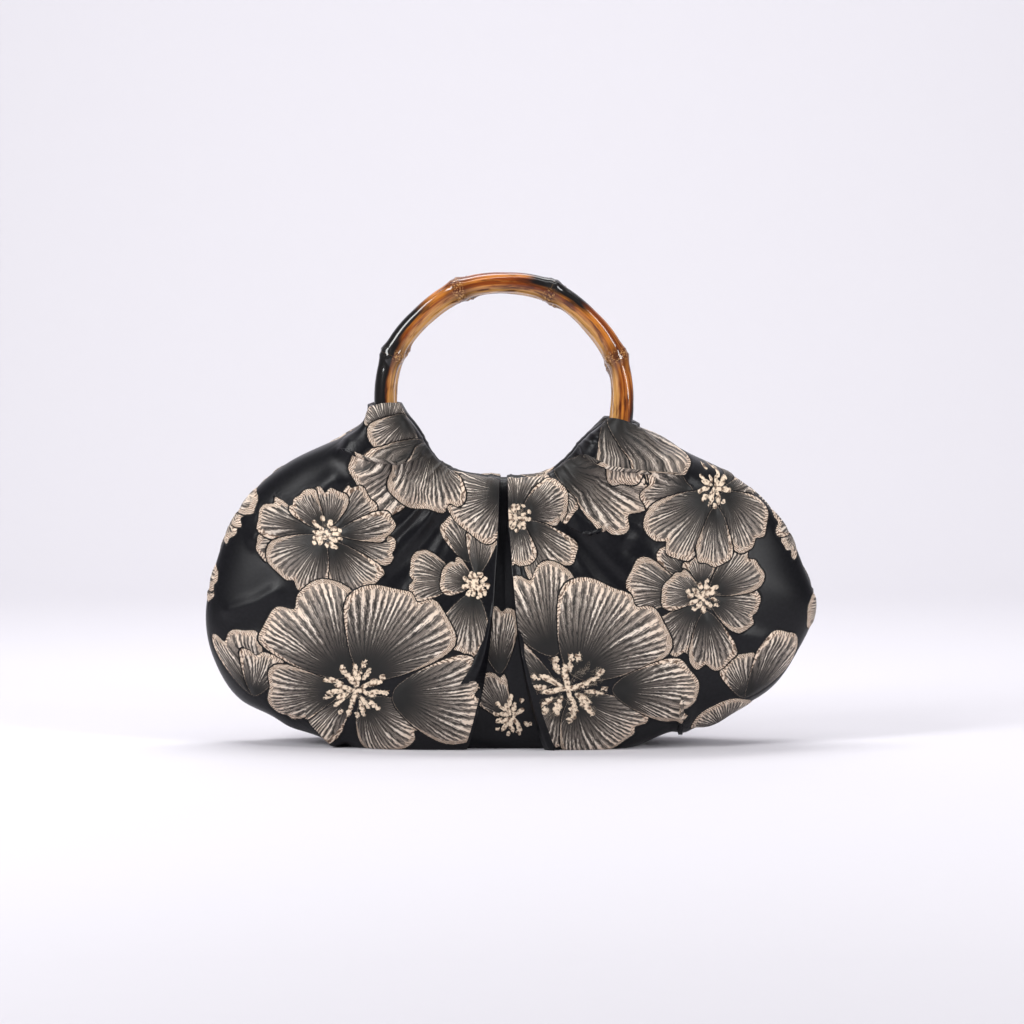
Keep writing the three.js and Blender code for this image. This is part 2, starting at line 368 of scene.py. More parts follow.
TUCKS = (
    Tuck(((-98, 172), (-82, 166), (-66, 164), (-50, 168)), 4.0, 9.0, 4.0, 3.8, 6.0),
    Tuck(((40, 169), (58, 161), (78, 158), (100, 156)), 4.0, 9.0, 4.0, 3.8, 6.0),
    Tuck(((27, 134), (36, 127), (46, 123), (54, 125), (58, 131)), 3.6, 7, 2.4, 3.4, 4.0),
    Tuck(((16, 146), (46, 133), (68, 116)), 3.0, 7.0, 6.0),
    Tuck(((56, 130), (72, 118), (86, 108)), 2.2, 6.0, 6.0),
    Tuck(((-74, 106), (-62, 121), (-34, 143)), 3.0, 6.0, 6.0),
    Tuck(((-84, 158), (-60, 146), (-40, 150)), 2.2, 5.0, 4.0),
    Tuck(((98, 32), (97, 4)), 3.4, 7.0, 2.2, 3.4, 4.0),
    Tuck(((-118, 22), (-99, 1)), 3.2, 6.0, 2.2, 3.2, 4.0),
    Tuck(((86, 168), (110, 150), (128, 128)), 1.8, 6.0, 6.0),
    Tuck(((-150, 118), (-120, 140), (-98, 158)), 2.0, 6.0, 6.0),
    Tuck(((-164, 58), (-140, 62), (-126, 72)), 1.6, 5.0, 5.0),
    Tuck(((-166, 78), (-146, 84), (-132, 92)), 1.4, 4.0, 4.0),
    Tuck(((128, 66), (146, 62), (160, 60)), 1.4, 5.0, 5.0),
)


@dataclass
class ClothForm:
    """The middle of one panel's cloth, as a surface over fan lines and the way along them."""

    rings: RingSizes = field(default_factory=RingSizes)
    bag_width: float = 355.0
    belly_depth: float = 96.0
    cloth: float = 1.6
    seam_gap: float = 0.04
    settle: float = 3.0
    casing_rise: float = 24.5
    hem_drop: float = 9.0
    left_mouth_deg: float = 89.0
    right_mouth_deg: float = 81.0
    slit_deg: float = 9.0
    cane_clearance: float = 0.5
    hem_share: float = 1 / 7
    full_at: float = 0.5
    fan_swing: float = 1.3
    pleat_lift: float = 5.0
    pleat_fade: float = 2.4
    seam_lift: float = 0.35
    seam_ease: float = 0.12
    lip_from: float = -0.5
    lip_ease: float = 0.3
    fold_start_ease: float = 0.25
    fold_end_ease: float = 0.3
    lip_fold_top: float = 0.8
    lip_fold_low: float = 3.6
    lip_close: float = 6.0
    lip_flare_left: float = 9.0
    lip_flare_right: float = 4.0
    lip_row: float = 1.0
    crest_row: float = 2.0
    lip_rise_rows: float = 0.7
    lip_fold_from: float = -0.25
    lip_close_to: float = 0.85
    flare_from: float = 0.55
    flare_ease: float = 0.4
    gathers: int = 16
    ruffle: float = 0.8
    ruffle_rows: float = 2.2
    ruffle_waves: float = 21.0
    ruffle_slant: float = 2.0
    sleeve_waves: float = 8.0
    sleeve_phase: float = 2.0
    probe: float = 0.02

    def __post_init__(self) -> None:
        """Work out the sizes that follow from the fields."""
        self.rows = {name: np.array([row[i] for row in FAN], float) for i, name in enumerate(FAN_NAMES)}
        self.last = len(FAN) - 1
        self.mouth = self.rings.cane + self.rings.kink / 2 + self.cane_clearance + self.cloth / 2
        self.casing = self.mouth + self.rings.knot_rise
        self.ring_y = self.rings.spacing / 2
        dice = np.random.default_rng(5)
        self.fine = [(side, dice.uniform(2.4, 12), dice.uniform(0.12, 0.25), dice.uniform(0.3, 0.9), -0.5,
                      dice.uniform(0.12, 0.45)) for side in (-1, 1) for _ in range(self.gathers)]

    def column(self, name: str, place: np.ndarray) -> np.ndarray:
        """Read a column of the fan's table between its rows, as a smooth curve through them.

        Args:
            name: The column.
            place: Rows from the middle of the bag.

        Returns:
            The column's value at each place.
        """
        values = self.rows[name]
        i = np.minimum(np.floor(place), self.last - 1).astype(int)
        t = place - i
        a, b, c, d = (values[np.clip(i + k, 0, self.last)] for k in (-1, 0, 1, 2))
        t2 = t * t
        t3 = t2 * t
        rise = (c - a) / 2 * (t3 - 2 * t2 + t) + (d - b) / 2 * (t3 - t2)
        return b * (2 * t3 - 3 * t2 + 1) + c * (3 * t2 - 2 * t3) + rise

    def by_side(self, name: str, across: np.ndarray) -> np.ndarray:
        """Read a column that differs from left to right."""
        place = np.abs(across)
        return np.where(across < 0, self.column(name + "_l", place), self.column(name + "_r", place))

    def ring_point(self, across: np.ndarray, turn: np.ndarray) -> tuple[np.ndarray, np.ndarray]:
        """Find where the ring's line passes at a share of the mouth's angle.

        Args:
            across: Fan line, negative to the left.
            turn: Share of the angle from the ring's bottom to the mouth.

        Returns:
            The point (x, z), and the way out from the ring's centre (x, z).
        """
        side = np.where(across < 0, -1.0, 1.0)
        angle = np.radians(turn * np.where(across < 0, self.left_mouth_deg, self.right_mouth_deg))
        out = np.stack([side * np.sin(angle), -np.cos(angle)], -1)
        centre = np.array([self.rings.offset, self.rings.centre_z])
        return centre + self.rings.line * out, out

    def beside_ring(self, point: np.ndarray, out: np.ndarray, outward: np.ndarray,
                    front: np.ndarray) -> np.ndarray:
        """Place a point round the ring's line, outward in its plane and to the front of it."""
        flat = point + out * outward[..., None]
        return np.stack([flat[..., 0], -(self.ring_y + front), flat[..., 1]], -1)

    def mid_cloth(self, across: np.ndarray, along: np.ndarray) -> np.ndarray:
        """Give the middle of the front panel's cloth without its folds.

        Args:
            across: Fan line, negative to the left.
            along: -1 at the hem inside the casing, 0 in front of the ring, 1 at the seam.

        Returns:
            Points in millimetres.
        """
        place = np.abs(across)
        point, out = self.ring_point(across, self.column("turn", place))
        casing = lerp(self.casing, self.mouth, self.column("snug", place))
        join = self.column("join", place)
        past = np.clip((-along - 1 + self.hem_share) / self.hem_share, 0, 1)
        over = np.pi * np.clip(-along / (1 - self.hem_share), 0, 1)
        top = lerp(casing, self.casing_rise - self.cloth / 2, self.by_side("rise", across))
        outward = past * self.hem_drop * join - top * np.sin(over)
        casing_part = self.beside_ring(point, out, outward, casing * np.cos(over))
        down = np.clip(along, 0, 1)
        round_ = np.radians(180 - self.slit_deg) * down
        sleeve = self.beside_ring(point, out, casing * np.sin(round_), casing * np.cos(round_))
        seam = self.seam_point(across)
        square = self.column("square", place)
        angle = down * np.pi / 2
        sine = np.maximum(np.sin(angle), 1e-9)
        cosine = np.maximum(np.cos(angle), 1e-9)
        reach = (sine ** square + cosine ** square) ** (-1 / square)
        run = reach * np.sin(angle)
        full = lerp(self.ring_y + casing, self.column("depth", place) * self.belly_depth / 2,
                    smooth(run / self.full_at))
        belly = np.stack([
            lerp(point[..., 0], seam[..., 0], run ** self.fan_swing),
            -lerp(self.seam_gap / 2, full, reach * np.cos(angle)),
            lerp(point[..., 1], seam[..., 1], run),
        ], -1)
        return np.where((along <= 0)[..., None], casing_part, lerp(sleeve, belly, join[..., None]))

    def seam_point(self, across: np.ndarray) -> np.ndarray:
        """Give where the seam passes on each fan line, as (x, z)."""
        place = np.abs(across)
        point, out = self.ring_point(across, np.ones_like(place))
        mouth = point + out * self.mouth
        side = np.where(across < 0, -1.0, 1.0)
        wide = self.by_side("wide", across) * (self.bag_width / 2 - self.cloth / 2)
        up = self.by_side("up", across) * self.rings.centre_z - self.settle
        return lerp(np.stack([side * wide, up], -1), mouth, self.column("hug", place)[..., None])

    def fold_lift(self, across: np.ndarray, along: np.ndarray) -> np.ndarray:
        """Give how far the pleat's lips and the gathers lift the cloth."""
        place = np.abs(across)
        beyond = np.maximum(0, place - self.crest_row) / self.pleat_fade
        lift = self.pleat_lift * smooth(place - self.lip_row) * np.exp(-beyond ** 2)
        lift = lift * smooth((along - self.lip_from) / self.lip_ease)
        for row in (*FOLDS, *self.fine):
            fold = dict(zip(FOLD_NAMES, row))
            off = (place - fold["row"]) / fold["width"]
            ends = (smooth((along - fold["start"]) / self.fold_start_ease)
                    * smooth((fold["end"] - along) / self.fold_end_ease))
            same_side = fold["side"] * across >= 0
            lift = lift + np.where(same_side, fold["lift"] * np.exp(-off ** 2) * ends, 0)
        return lift * lerp(self.seam_lift, 1, smooth((1 - along) / self.seam_ease))

    def frame_at(self, across: np.ndarray, along: np.ndarray) -> tuple[np.ndarray, np.ndarray]:
        """Give the way out of the cloth and the way across it, both of length 1."""
        step = self.probe

        def at(u: np.ndarray, v: np.ndarray) -> np.ndarray:
            """Read the cloth no further than its edges."""
            return self.mid_cloth(np.clip(u, -self.last, self.last), np.clip(v, -1, 1))

        across_way = at(across + step, along) - at(across - step, along)
        along_way = at(across, along + step) - at(across, along - step)
        return unit(np.cross(along_way, across_way)), unit(across_way)

    def lip_fold(self, across: np.ndarray, along: np.ndarray) -> np.ndarray:
        """Give how far the pleat's lips swing sideways, out beneath themselves and back over."""
        place = np.abs(across)
        under = np.clip(place - self.lip_row, 0, 1)
        swing = lerp(self.lip_fold_top, self.lip_fold_low, smooth(along))
        ends = smooth((along - self.lip_fold_from) / self.lip_ease) * smooth((1 - along) / self.seam_ease)
        near = smooth((place - self.lip_row) / self.lip_rise_rows)
        near = near * np.exp(-np.maximum(place - self.crest_row, 0) ** 2)
        close = self.lip_close * np.sin(np.pi * np.clip(along / self.lip_close_to, 0, 1)) ** 2
        flare = np.where(across < 0, self.lip_flare_left, self.lip_flare_right)
        close = close - flare * smooth((along - self.flare_from) / self.flare_ease)
        mouth = smooth(place - self.last + 1) * self.ruffle
        mouth = mouth * np.sin(self.sleeve_waves * along + self.sleeve_phase)
        return np.sign(across) * (np.sin(TURN * under) * swing * ends - near * close + mouth)

    def ruffles(self, across: np.ndarray, along: np.ndarray) -> np.ndarray:
        """Give how far the gathered cloth stands off at the sleeves' ends."""
        near = smooth((np.abs(across) - self.last + self.ruffle_rows) / self.ruffle_rows)
        wave = 0.5 + 0.5 * np.sin(self.ruffle_waves * along + np.abs(across) * self.ruffle_slant)
        return near * self.ruffle * wave

    def surface(self, across: np.ndarray, along: np.ndarray, outside: bool,
                relief: np.ndarray | float = 0.0, slide: np.ndarray | float = 0.0) -> np.ndarray:
        """Give one face of the cloth with its folds.

        Args:
            across: Fan line, negative to the left.
            along: Way along it.
            outside: The face that shows, or the one inside the bag.
            relief: How far the woven figures and the tucks stand proud.
            slide: How far the tucks slide the cloth, as (x, z).

        Returns:
            Points in millimetres.
        """
        out, way = self.frame_at(across, along)
        half = self.cloth / 2 if outside else -self.cloth / 2
        proud = self.fold_lift(across, along) + half + relief
        points = self.mid_cloth(across, along) + out * proud[..., None]
        if outside:
            points = points + way * self.lip_fold(across, along)[..., None]
            points[..., ::2] += slide
        points[..., 2] = np.maximum(points[..., 2], 0 if outside else self.cloth)
        points[..., 1] = np.minimum(points[..., 1], -self.seam_gap / 2)
        return points

    def flat_map(self, across: np.ndarray, along: np.ndarray, points: np.ndarray) -> np.ndarray:
        """Lay the cloth flat: walk out from the ring along each fan line by its true length.

        Args:
            across: Fan line of each column.
            along: Way along, of each row.
            points: Surface points, columns by rows.

        Returns:
            Flat places (x, z) in millimetres, which match the real ones at the ring's front.
        """
        steps = np.linalg.norm(np.diff(points, axis=1), axis=-1)
        length = np.concatenate([np.zeros((len(across), 1)), np.cumsum(steps, axis=1)], axis=1)
        start = np.argmin(np.abs(along))
        length = length - length[:, start:start + 1]
        point, out = self.ring_point(across, self.column("turn", np.abs(across)))
        seam = self.seam_point(across)
        way = lerp(unit(seam - point), out, (1 - self.column("join", np.abs(across)))[..., None])
        way = unit(way)
        heading = np.where((length < 0)[..., None], out[:, None, :], way[:, None, :])
        return point[:, None, :] + heading * length[..., None]


class Field(Enum):
    """The three fields of a panel that the box pleat parts, each with its own stretch of the pattern."""

    LEFT = -1
    RECESS = 0
    RIGHT = 1


@dataclass(frozen=True)
class Bloom:
    """One woven bloom: where its heart is, its stamens, and its petals from the top one down.

    Places are as the camera sees them on the plane of the front ring. Each petal is its angle in
    degrees, how far its base is from the heart, its length, half its spread in degrees, and where the
    notch is that parts its tip, from -1 to 1.
    """

    field: Field
    x: float
    z: float
    heart: float
    petals: tuple[tuple[float, ...], ...]
    tone: float = 0.5


L, M, R = Field.LEFT, Field.RECESS, Field.RIGHT
BLOOMS = (
    Bloom(L, -89, 33, 18, ((-7, 22, 48, 41), (-50, 8, 39, 42, 0.4), (187, 10, 43, 33), (61, 11, 56, 44, -0.1),
                           (123, 11, 58, 38, 0.1), (226, 6, 32, 32)), 0.85),
    Bloom(R, 33, 34, 20, ((-4, 24, 48, 33), (57, 9, 59, 44, -0.12), (-56, 7, 42, 45, 0.5), (110, 21, 52, 33),
                          (158, 8, 38, 30), (246, 6, 33, 32)), 0.95),
    Bloom(L, -106, 123, 9, ((228, 4, 34, 40), (127, 4, 21, 32), (170, 6, 34, 24), (-60, 5, 34, 32, 0.2),
                            (9, 6, 32, 19), (-15, 8, 31, 20), (78, 4, 21, 32), (42, 6, 28, 25),
                            (196, 12, 30, 20)), 0.4),
    Bloom(L, -47, 174, 0, ((256, 0, 40, 42, 0.6), (213, 0, 55, 24, 0.9)), 0.85),
    Bloom(L, -60, 190, 0, ((236, 0, 26, 48),), 0.75),
    Bloom(L, -70, 183, 0, ((96, 0, 21, 68),), 0.95),
    Bloom(R, 4, 133, 8, ((-84, 3, 26, 34), (-44, 5, 40, 31, 0.1), (25, 4, 27, 38), (85, 3, 27, 44)), 0.75),
    Bloom(L, -3, 147, 0, ((196, 0, 33, 58),), 0.95),
    Bloom(L, -20, 94, 8, ((252, 5, 36, 31), (158, 3, 18, 48), (77, 6, 28, 24), (168, 12, 29, 38),
                          (103, 14, 26, 30)), 0.4),
    Bloom(R, 117, 150, 11, ((270, 10, 31, 25), (221, 6, 37, 37, 0.1), (-44, 6, 35, 33, -0.2),
                            (-14, 6, 25, 27), (181, 14, 29, 25), (14, 8, 17, 24)), 0.5),
    Bloom(R, 111, 87, 10, ((280, 9, 37, 27), (32, 5, 30, 35, 0.2), (163, 3, 20, 46), (-24, 5, 29, 33, -0.1),
                           (236, 5, 34, 31), (98, 6, 19, 36), (168, 13, 31, 37), (128, 15, 23, 27)), 0.45),
    Bloom(R, 56, 193, 0, ((-30, 0, 61, 25, 0.9), (-66, 0, 42, 26, -0.9)), 0.5),
    Bloom(R, 26, 161, 0, ((-21, 0, 59, 25, -0.3),), 0.65),
    Bloom(R, 19, 156, 0, ((-46, 0, 31, 22),), 0.7),
    Bloom(L, -186, 140, 0, ((12, 0, 48, 15), (-3, 0, 41, 15), (-23, 0, 36, 18)), 0.75),
    Bloom(L, -192, 96, 0, ((12, 0, 28, 22), (-12, 0, 25, 24)), 0.8),
    Bloom(L, -148, 30, 0, ((76, 0, 32, 28), (106, 0, 43, 26, 0.4)), 0.75),
    Bloom(R, 136, 29, 0, ((54, 0, 46, 24), (96, 0, 30, 36)), 0.75),
    Bloom(R, 124, 8, 0, ((102, 0, 28, 62),), 0.7),
    Bloom(R, 172, 127, 0, ((160, 0, 26, 26), (208, 0, 22, 26)), 0.7),
    Bloom(R, 192, 80, 0, ((176, 0, 25, 40),), 0.8),
    Bloom(M, -6, 43, 0, ((94, 0, 38, 28),), 0.65),
    Bloom(M, -2, 17, 0, ((122, 0, 29, 30),), 0.5),
    Bloom(M, 1, 18, 13, (), 0.6),
)


@dataclass
class Figure:
    """One woven figure on the flat cloth: a petal, or a heart of stamens."""

    kind: Petal
    field: Field
    base: np.ndarray
    angle: float
    length: float
    spread: float
    seed: float
    tone: float

    side_bulge: float = 0.32
    corner: float = 0.42
    wave: float = 0.03
    wave_turns: float = 3.4
    wave_phase: float = 6.28
    ripple: float = 0.018
    ripple_turns: float = 8.0
    ripple_phase: float = 21.0
    notch: float = 0.11
    notch_turn: float = 0.085

    def local(self, flat: np.ndarray) -> np.ndarray:
        """Give places in the figure's own frame, along its length and across, in lengths."""
        away = flat - self.base
        c, s = math.cos(self.angle), math.sin(self.angle)
        return np.stack([away[..., 0] * c + away[..., 1] * s, away[..., 1] * c - away[..., 0] * s],
                        -1) / self.length

    def inside(self, local: np.ndarray) -> np.ndarray:
        """Give how far inside its outline places are, in millimetres, below 0 outside."""
        rho = np.hypot(local[..., 0], local[..., 1])
        if self.kind is Petal.STAMENS:
            return (1 - rho) * self.length
        angle = np.arctan2(local[..., 1], local[..., 0])
        bend = angle / self.spread
        edge = 1 + self.wave * np.sin(bend * self.wave_turns + self.seed * self.wave_phase)
        edge = edge + self.ripple * np.sin(bend * self.ripple_turns + self.seed * self.ripple_phase)
        off = (bend - self.seed * 2 + 1) * self.spread / self.notch_turn
        edge = edge - self.notch * np.exp(-off ** 2)
        tip = edge - rho
        rim = self.spread * np.maximum(rho, 0.02) ** (1 - self.side_bulge) - np.abs(angle) * rho
        near = np.maximum(self.corner - np.abs(tip - rim), 0) / self.corner
        return (np.minimum(tip, rim) - near ** 3 * self.corner / 6) * self.length


@dataclass
class Brocade:
    """The pattern of one panel: its figures, and which of them each face of the mesh shows."""

    side: Side
    layers: int = 3
    outline: float = 1.0
    eye: tuple[float, float, float] = (0.9, -2034.0, 229.0)
    ring_plane: float = -22.0
    puff: float = 1.0
    puff_over: float = 5.0
    puff_starts: float = 0.5
    sunk: float = 0.2
    heart_puff: float = 0.3
    heart_puff_over: float = 3.0
    tip_share: float = 1.25
    cell: float = 3.0
    spare: float = 1.0
    well_inside: float = 0.4
    elsewhere: float = 400.0
    mirror_at: float = -3.8

    def seen(self, points: np.ndarray) -> np.ndarray:
        """Project points on the plane of the front ring, as the camera sees them, as (x, z)."""
        eye = np.array(self.eye)
        share = (self.ring_plane - eye[1]) / (points[..., 1] - eye[1])
        return (eye + (points - eye) * share[..., None])[..., ::2]

    def turned(self, bloom: Bloom) -> Bloom:
        """Mirror a bloom for the back, so that both panels look alike when each is faced."""
        if self.side is Side.FRONT:
            return bloom
        petals = tuple((180 - turn, *rest) for turn, *rest in bloom.petals)
        return replace(bloom, field=Field(-bloom.field.value), x=2 * self.mirror_at - bloom.x, petals=petals)

    def figures(self, seen: np.ndarray, flat: np.ndarray, fields: np.ndarray,
                shown: np.ndarray) -> list[Figure]:
        """Lay all figures on the flat cloth, from the top one down.

        Args:
            seen: Where the camera sees each point.
            flat: The same points on the flat cloth.
            fields: Each point's field, as a number.
            shown: Which points are outside the casing.

        Returns:
            The figures, hearts first.
        """
        dice = np.random.default_rng(11)
        hearts, petals = [], []
        for bloom in map(self.turned, BLOOMS):
            away = np.hypot(seen[..., 0] - bloom.x, seen[..., 1] - bloom.z)
            away = np.where((fields == bloom.field.value) & shown, away, away + self.elsewhere)
            nearest = np.unravel_index(np.argmin(away), away.shape)
            heart = flat[nearest] + np.array([bloom.x, bloom.z]) - seen[nearest]
            if bloom.heart:
                hearts.append(Figure(Petal.STAMENS, bloom.field, heart, dice.uniform(0, 6.28), bloom.heart,
                                     1.0, dice.uniform(), bloom.tone))
            for turn, start, length, spread, *notch in bloom.petals:
                angle = math.radians(turn)
                parted = notch[0] if notch else dice.uniform(-0.95, 0.95)
                base = heart + start * np.array([math.cos(angle), math.sin(angle)])
                petals.append(Figure(Petal.LEAF, bloom.field, base, angle, length, math.radians(spread),
                                     0.5 + parted / 2, bloom.tone + dice.uniform(-0.15, 0.15)))
        return hearts + petals

    def relief(self, figures: list[Figure], flat: np.ndarray, fields: np.ndarray) -> np.ndarray:
        """Give how far the figures stand proud of the ground at each point, in millimetres."""
        height = np.zeros(flat.shape[:2])
        free = np.ones(flat.shape[:2], bool)
        for figure in figures:
            depth = figure.inside(figure.local(flat))
            here = free & (depth > -self.outline) & (fields == figure.field.value)
            if figure.kind is Petal.STAMENS:
                height[here] += self.heart_puff * smooth(depth[here] / self.heart_puff_over)
                continue
            height[here] += self.puff * smooth((depth[here] + self.puff_starts) / self.puff_over) - self.sunk
            free &= ~here
        return height

    def layers_of(self, figures: list[Figure], flat: np.ndarray,
                  fields: np.ndarray) -> list[tuple[np.ndarray, np.ndarray]]:
        """Choose the figures that each face shows, and place each face's corners in them.

        Args:
            figures: The figures from the top one down.
            flat: Flat places of the four corners of each face.
            fields: Each face's field, as a number.

        Returns:
            For each layer of petals from the top, and then for the hearts: places in the figure
            with its seed, and the figure's length, spread and tone.
        """
        count = len(flat)
        place = np.full((self.layers + 1, count, 4, 3), 9.0)
        facts = np.ones((self.layers + 1, count, 4, 3))
        used = np.zeros(count, int)
        middle = flat.mean(1)
        for figure in figures:
            reach = np.hypot(*(middle - figure.base).T) < figure.length * self.tip_share + self.cell
            which = np.flatnonzero(reach & (used < self.layers) & (fields == figure.field.value))
            local = figure.local(flat[which])
            depth = figure.inside(local)
            covers = depth.max(1) > -self.outline - self.spare
            which, local, depth = which[covers], local[covers], depth[covers]
            heart = figure.kind is Petal.STAMENS
            slot = self.layers if heart else used[which]
            place[slot, which, :, :2] = local
            place[slot, which, :, 2] = figure.seed
            facts[slot, which] = (figure.length, figure.spread, figure.tone)
            if not heart:
                used[which] = np.where(depth.min(1) > self.well_inside, self.layers, slot + 1)
        return list(zip(place, facts))


@dataclass(frozen=True)
class InPetal:
    """Where in a petal the shader is, and the petal's own facts, as signals.

    The bend is the angle off the petal's middle as a share of half its spread.
    """

    rho: Signal
    angle: Signal
    bend: Signal
    seed: Signal
    length: Signal
    spread: Signal
    tone: Signal
    grain: Signal


@dataclass(frozen=True)
class BrocadeFinish:
    """Black satin with woven flowers: champagne rims, pewter petals and cream stamens."""

    ground: tuple[float, float, float] = (0.0035, 0.0035, 0.0048)
    ground_light: tuple[float, float, float] = (0.0062, 0.0062, 0.0080)
    heart_dark: tuple[float, float, float] = (0.014, 0.0135, 0.013)
    pewter: tuple[float, float, float] = (0.145, 0.120, 0.103)
    light: tuple[float, float, float] = (0.92, 0.81, 0.70)
    blush: tuple[float, float, float] = (0.80, 0.64, 0.51)
    champagne: tuple[float, float, float] = (0.78, 0.62, 0.49)
    champagne_dark: tuple[float, float, float] = (0.14, 0.090, 0.062)
    cream: tuple[float, float, float] = (0.78, 0.63, 0.48)
    # The dark ring round each petal's edge, drawn over the petals beneath it: painted shade in the gap along
    # the outline, as black as the satin ground.
    outline_shade: tuple[float, float, float] = (0.004, 0.004, 0.005)
    rim: float = 3.0
    lanes: float = 12.15
    lane_depth: float = 0.9
    fray: float = 0.8
    noise_along: float = 0.16
    noise_across: float = 1.1
    yarn: float = 1.3
    yarn_pitch: float = 0.0007
    yarn_slant: float = 0.35
    yarn_height: float = 0.012
    grain_scale: float = 520.0
    satin_roughness: float = 0.32
    woven_roughness: float = 0.42
    specular: float = 0.2
    stamen_rings: tuple[tuple[float, float, float], ...] = (
        (0.16, 0.14, 4.0), (0.44, 0.20, 8.0), (0.70, 0.19, 11.0), (0.92, 0.11, 9.0))

    def petal_group(self) -> bpy.types.NodeTree:
        """Build the group that draws one petal from its place in the petal."""
        net, given, leave = new_group(
            "woven petal",
            {"Place": VECTOR, "Facts": VECTOR, "Grain": VALUE},
            {"Color": COLOR, "Height": VALUE, "Cover": VALUE})
        x, y, seed = net.parts(given["Place"])
        length, spread, tone = net.parts(given["Facts"])
        angle = net.math("ARCTAN2", y, x)
        at = InPetal(net.math("SQRT", x * x + y * y), angle, angle / spread, seed, length, spread, tone,
                     given["Grain"])
        inside, grown = self.outline(net, at)
        fine, streak, dark_lane = self.streaks(net, at, grown)
        rim, twist = self.stitched_rim(net, at, inside, grown)

        silver = net.mix(net.ease(grown + (at.grain - 0.5) * 0.3, 0.62, 1.0), self.light, self.blush)
        body = net.mix(net.ease(grown, 0.14, 0.80), self.heart_dark, self.pewter)
        hatch = net.ease(fine, 0.46, 0.66) * net.ease(grown, 0.2, 1.0)
        body = net.mix(hatch * (tone * 0.35 + 0.05), body, silver)
        body = net.mix(dark_lane * self.lane_depth, body, self.heart_dark)
        body = net.mix(streak * net.math("MINIMUM", tone * 0.5 + 0.5, 0.95), body, silver)
        yarn = net.mix(twist, self.champagne_dark, self.champagne)
        yarn = net.mix(net.ease(fine, 0.52, 0.72) * 0.6, yarn, self.light)
        body = net.mix(rim, body, yarn)
        height = streak * 0.22 - dark_lane * 0.12 + rim * (twist * 0.22 + 0.14)
        height = height + net.ease(inside, -0.9, 0.9) * 0.35
        # The petal's edge gets the dark ring of painted shade in the gap along its outline.
        net.plug(net.mix(net.ease(inside, -0.15, 0.15), self.outline_shade, body), leave.inputs["Color"])
        net.plug(height, leave.inputs["Height"])
        net.plug(net.ease(inside, -0.85, -0.65), leave.inputs["Cover"])
        return net.tree

    def outline(self, net: Net, at: InPetal) -> tuple[Signal, Signal]:
        """Draw a petal's outline by the formulas of Figure.inside, a little frayed.

        Args:
            net: The petal group's net.
            at: Where in the petal the shader is.

        Returns:
            How far inside the outline it is, in millimetres, and its share of the way from the
            petal's base to the edge.
        """
        wave = net.math("SINE", at.bend * Figure.wave_turns + at.seed * Figure.wave_phase) * Figure.wave
        ripple = net.math("SINE", at.bend * Figure.ripple_turns + at.seed * Figure.ripple_phase)
        off = (at.bend - at.seed * 2.0 + 1.0) * at.spread / Figure.notch_turn
        notch = net.math("EXPONENT", 0.0 - off * off) * Figure.notch
        edge = wave + ripple * Figure.ripple + 1.0 - notch
        tip = edge - at.rho
        side = net.math("POWER", net.math("MAXIMUM", at.rho, 0.02), 1 - Figure.side_bulge) * at.spread
        side = side - net.math("ABSOLUTE", at.angle) * at.rho
        near = net.math("MAXIMUM", Figure.corner - net.math("ABSOLUTE", tip - side), 0.0) / Figure.corner
        cut = near * near * near * (Figure.corner / 6)
        inside = (net.math("MINIMUM", tip, side) - cut) * at.length + (at.grain - 0.5) * self.fray
        return inside, at.rho / edge

    def streaks(self, net: Net, at: InPetal, grown: Signal) -> tuple[Signal, Signal, Signal]:
        """Draw the streaks that fan out in a petal: each lane has a light streak of its own length.

        Args:
            net: The petal group's net.
            at: Where in the petal the shader is.
            grown: Its share of the way from the base to the edge.

        Returns:
            Fine noise drawn out along the petal, the light streaks and the dark lanes' middles.
        """
        drawn_out = net.vector(at.rho * at.length * self.noise_along,
                               at.bend * at.spread * at.length * self.noise_across, at.seed * 50)
        fine = net.noise(drawn_out, 1.3, 2.0)
        sway = net.math("SINE", at.bend * 5.0 + at.seed * 40.0) * 0.55
        sway = sway + net.math("SINE", grown * 4.0 + at.seed * 9.0) * 0.5
        wander = (fine - 0.5) * 0.9 + (at.grain - 0.5) * 0.5 + sway
        lane = at.bend * self.lanes * at.spread + wander + at.seed * 9
        across = net.math("ABSOLUTE", net.math("FRACT", lane) - 0.5) * 2
        chance = net.node("ShaderNodeTexWhiteNoise",
                          inputs={"Vector": net.vector(net.math("FLOOR", lane), at.seed, 3.0)})
        taper = net.math("MAXIMUM", (grown - chance * 0.6 - 0.22) / 0.5, 0.0)
        width = net.math("MINIMUM", taper, 1.0) * (chance * 0.42 + 0.36)
        streak = net.ease(across - width, 0.14, -0.16) * net.ease(taper, 0.0, 0.15)
        dark_lane = net.ease(across, 0.50, 0.92) * net.ease(grown, 0.10, 0.35) * net.ease(grown, 1.0, 0.8)
        return fine, streak, dark_lane

    def stitched_rim(self, net: Net, at: InPetal, inside: Signal,
                     grown: Signal) -> tuple[Signal, Signal]:
        """Draw the rim of slanting champagne yarns round a petal.

        Args:
            net: The petal group's net.
            at: Where in the petal the shader is.
            inside: How far inside the outline it is, in millimetres.
            grown: Its share of the way from the base to the edge.

        Returns:
            The rim's mask, and how high on a yarn the shader is.
        """
        width = (at.grain * 1.4 + 0.1) * net.ease(grown, 0.3, 0.85) * self.rim
        rim = net.ease(inside - width, 0.35, -0.35)
        turns = (at.angle * at.length * at.rho + inside * 0.8) * (TURN / self.yarn)
        return rim, net.ease(net.math("SINE", turns + at.grain * 9), -0.8, 0.7)

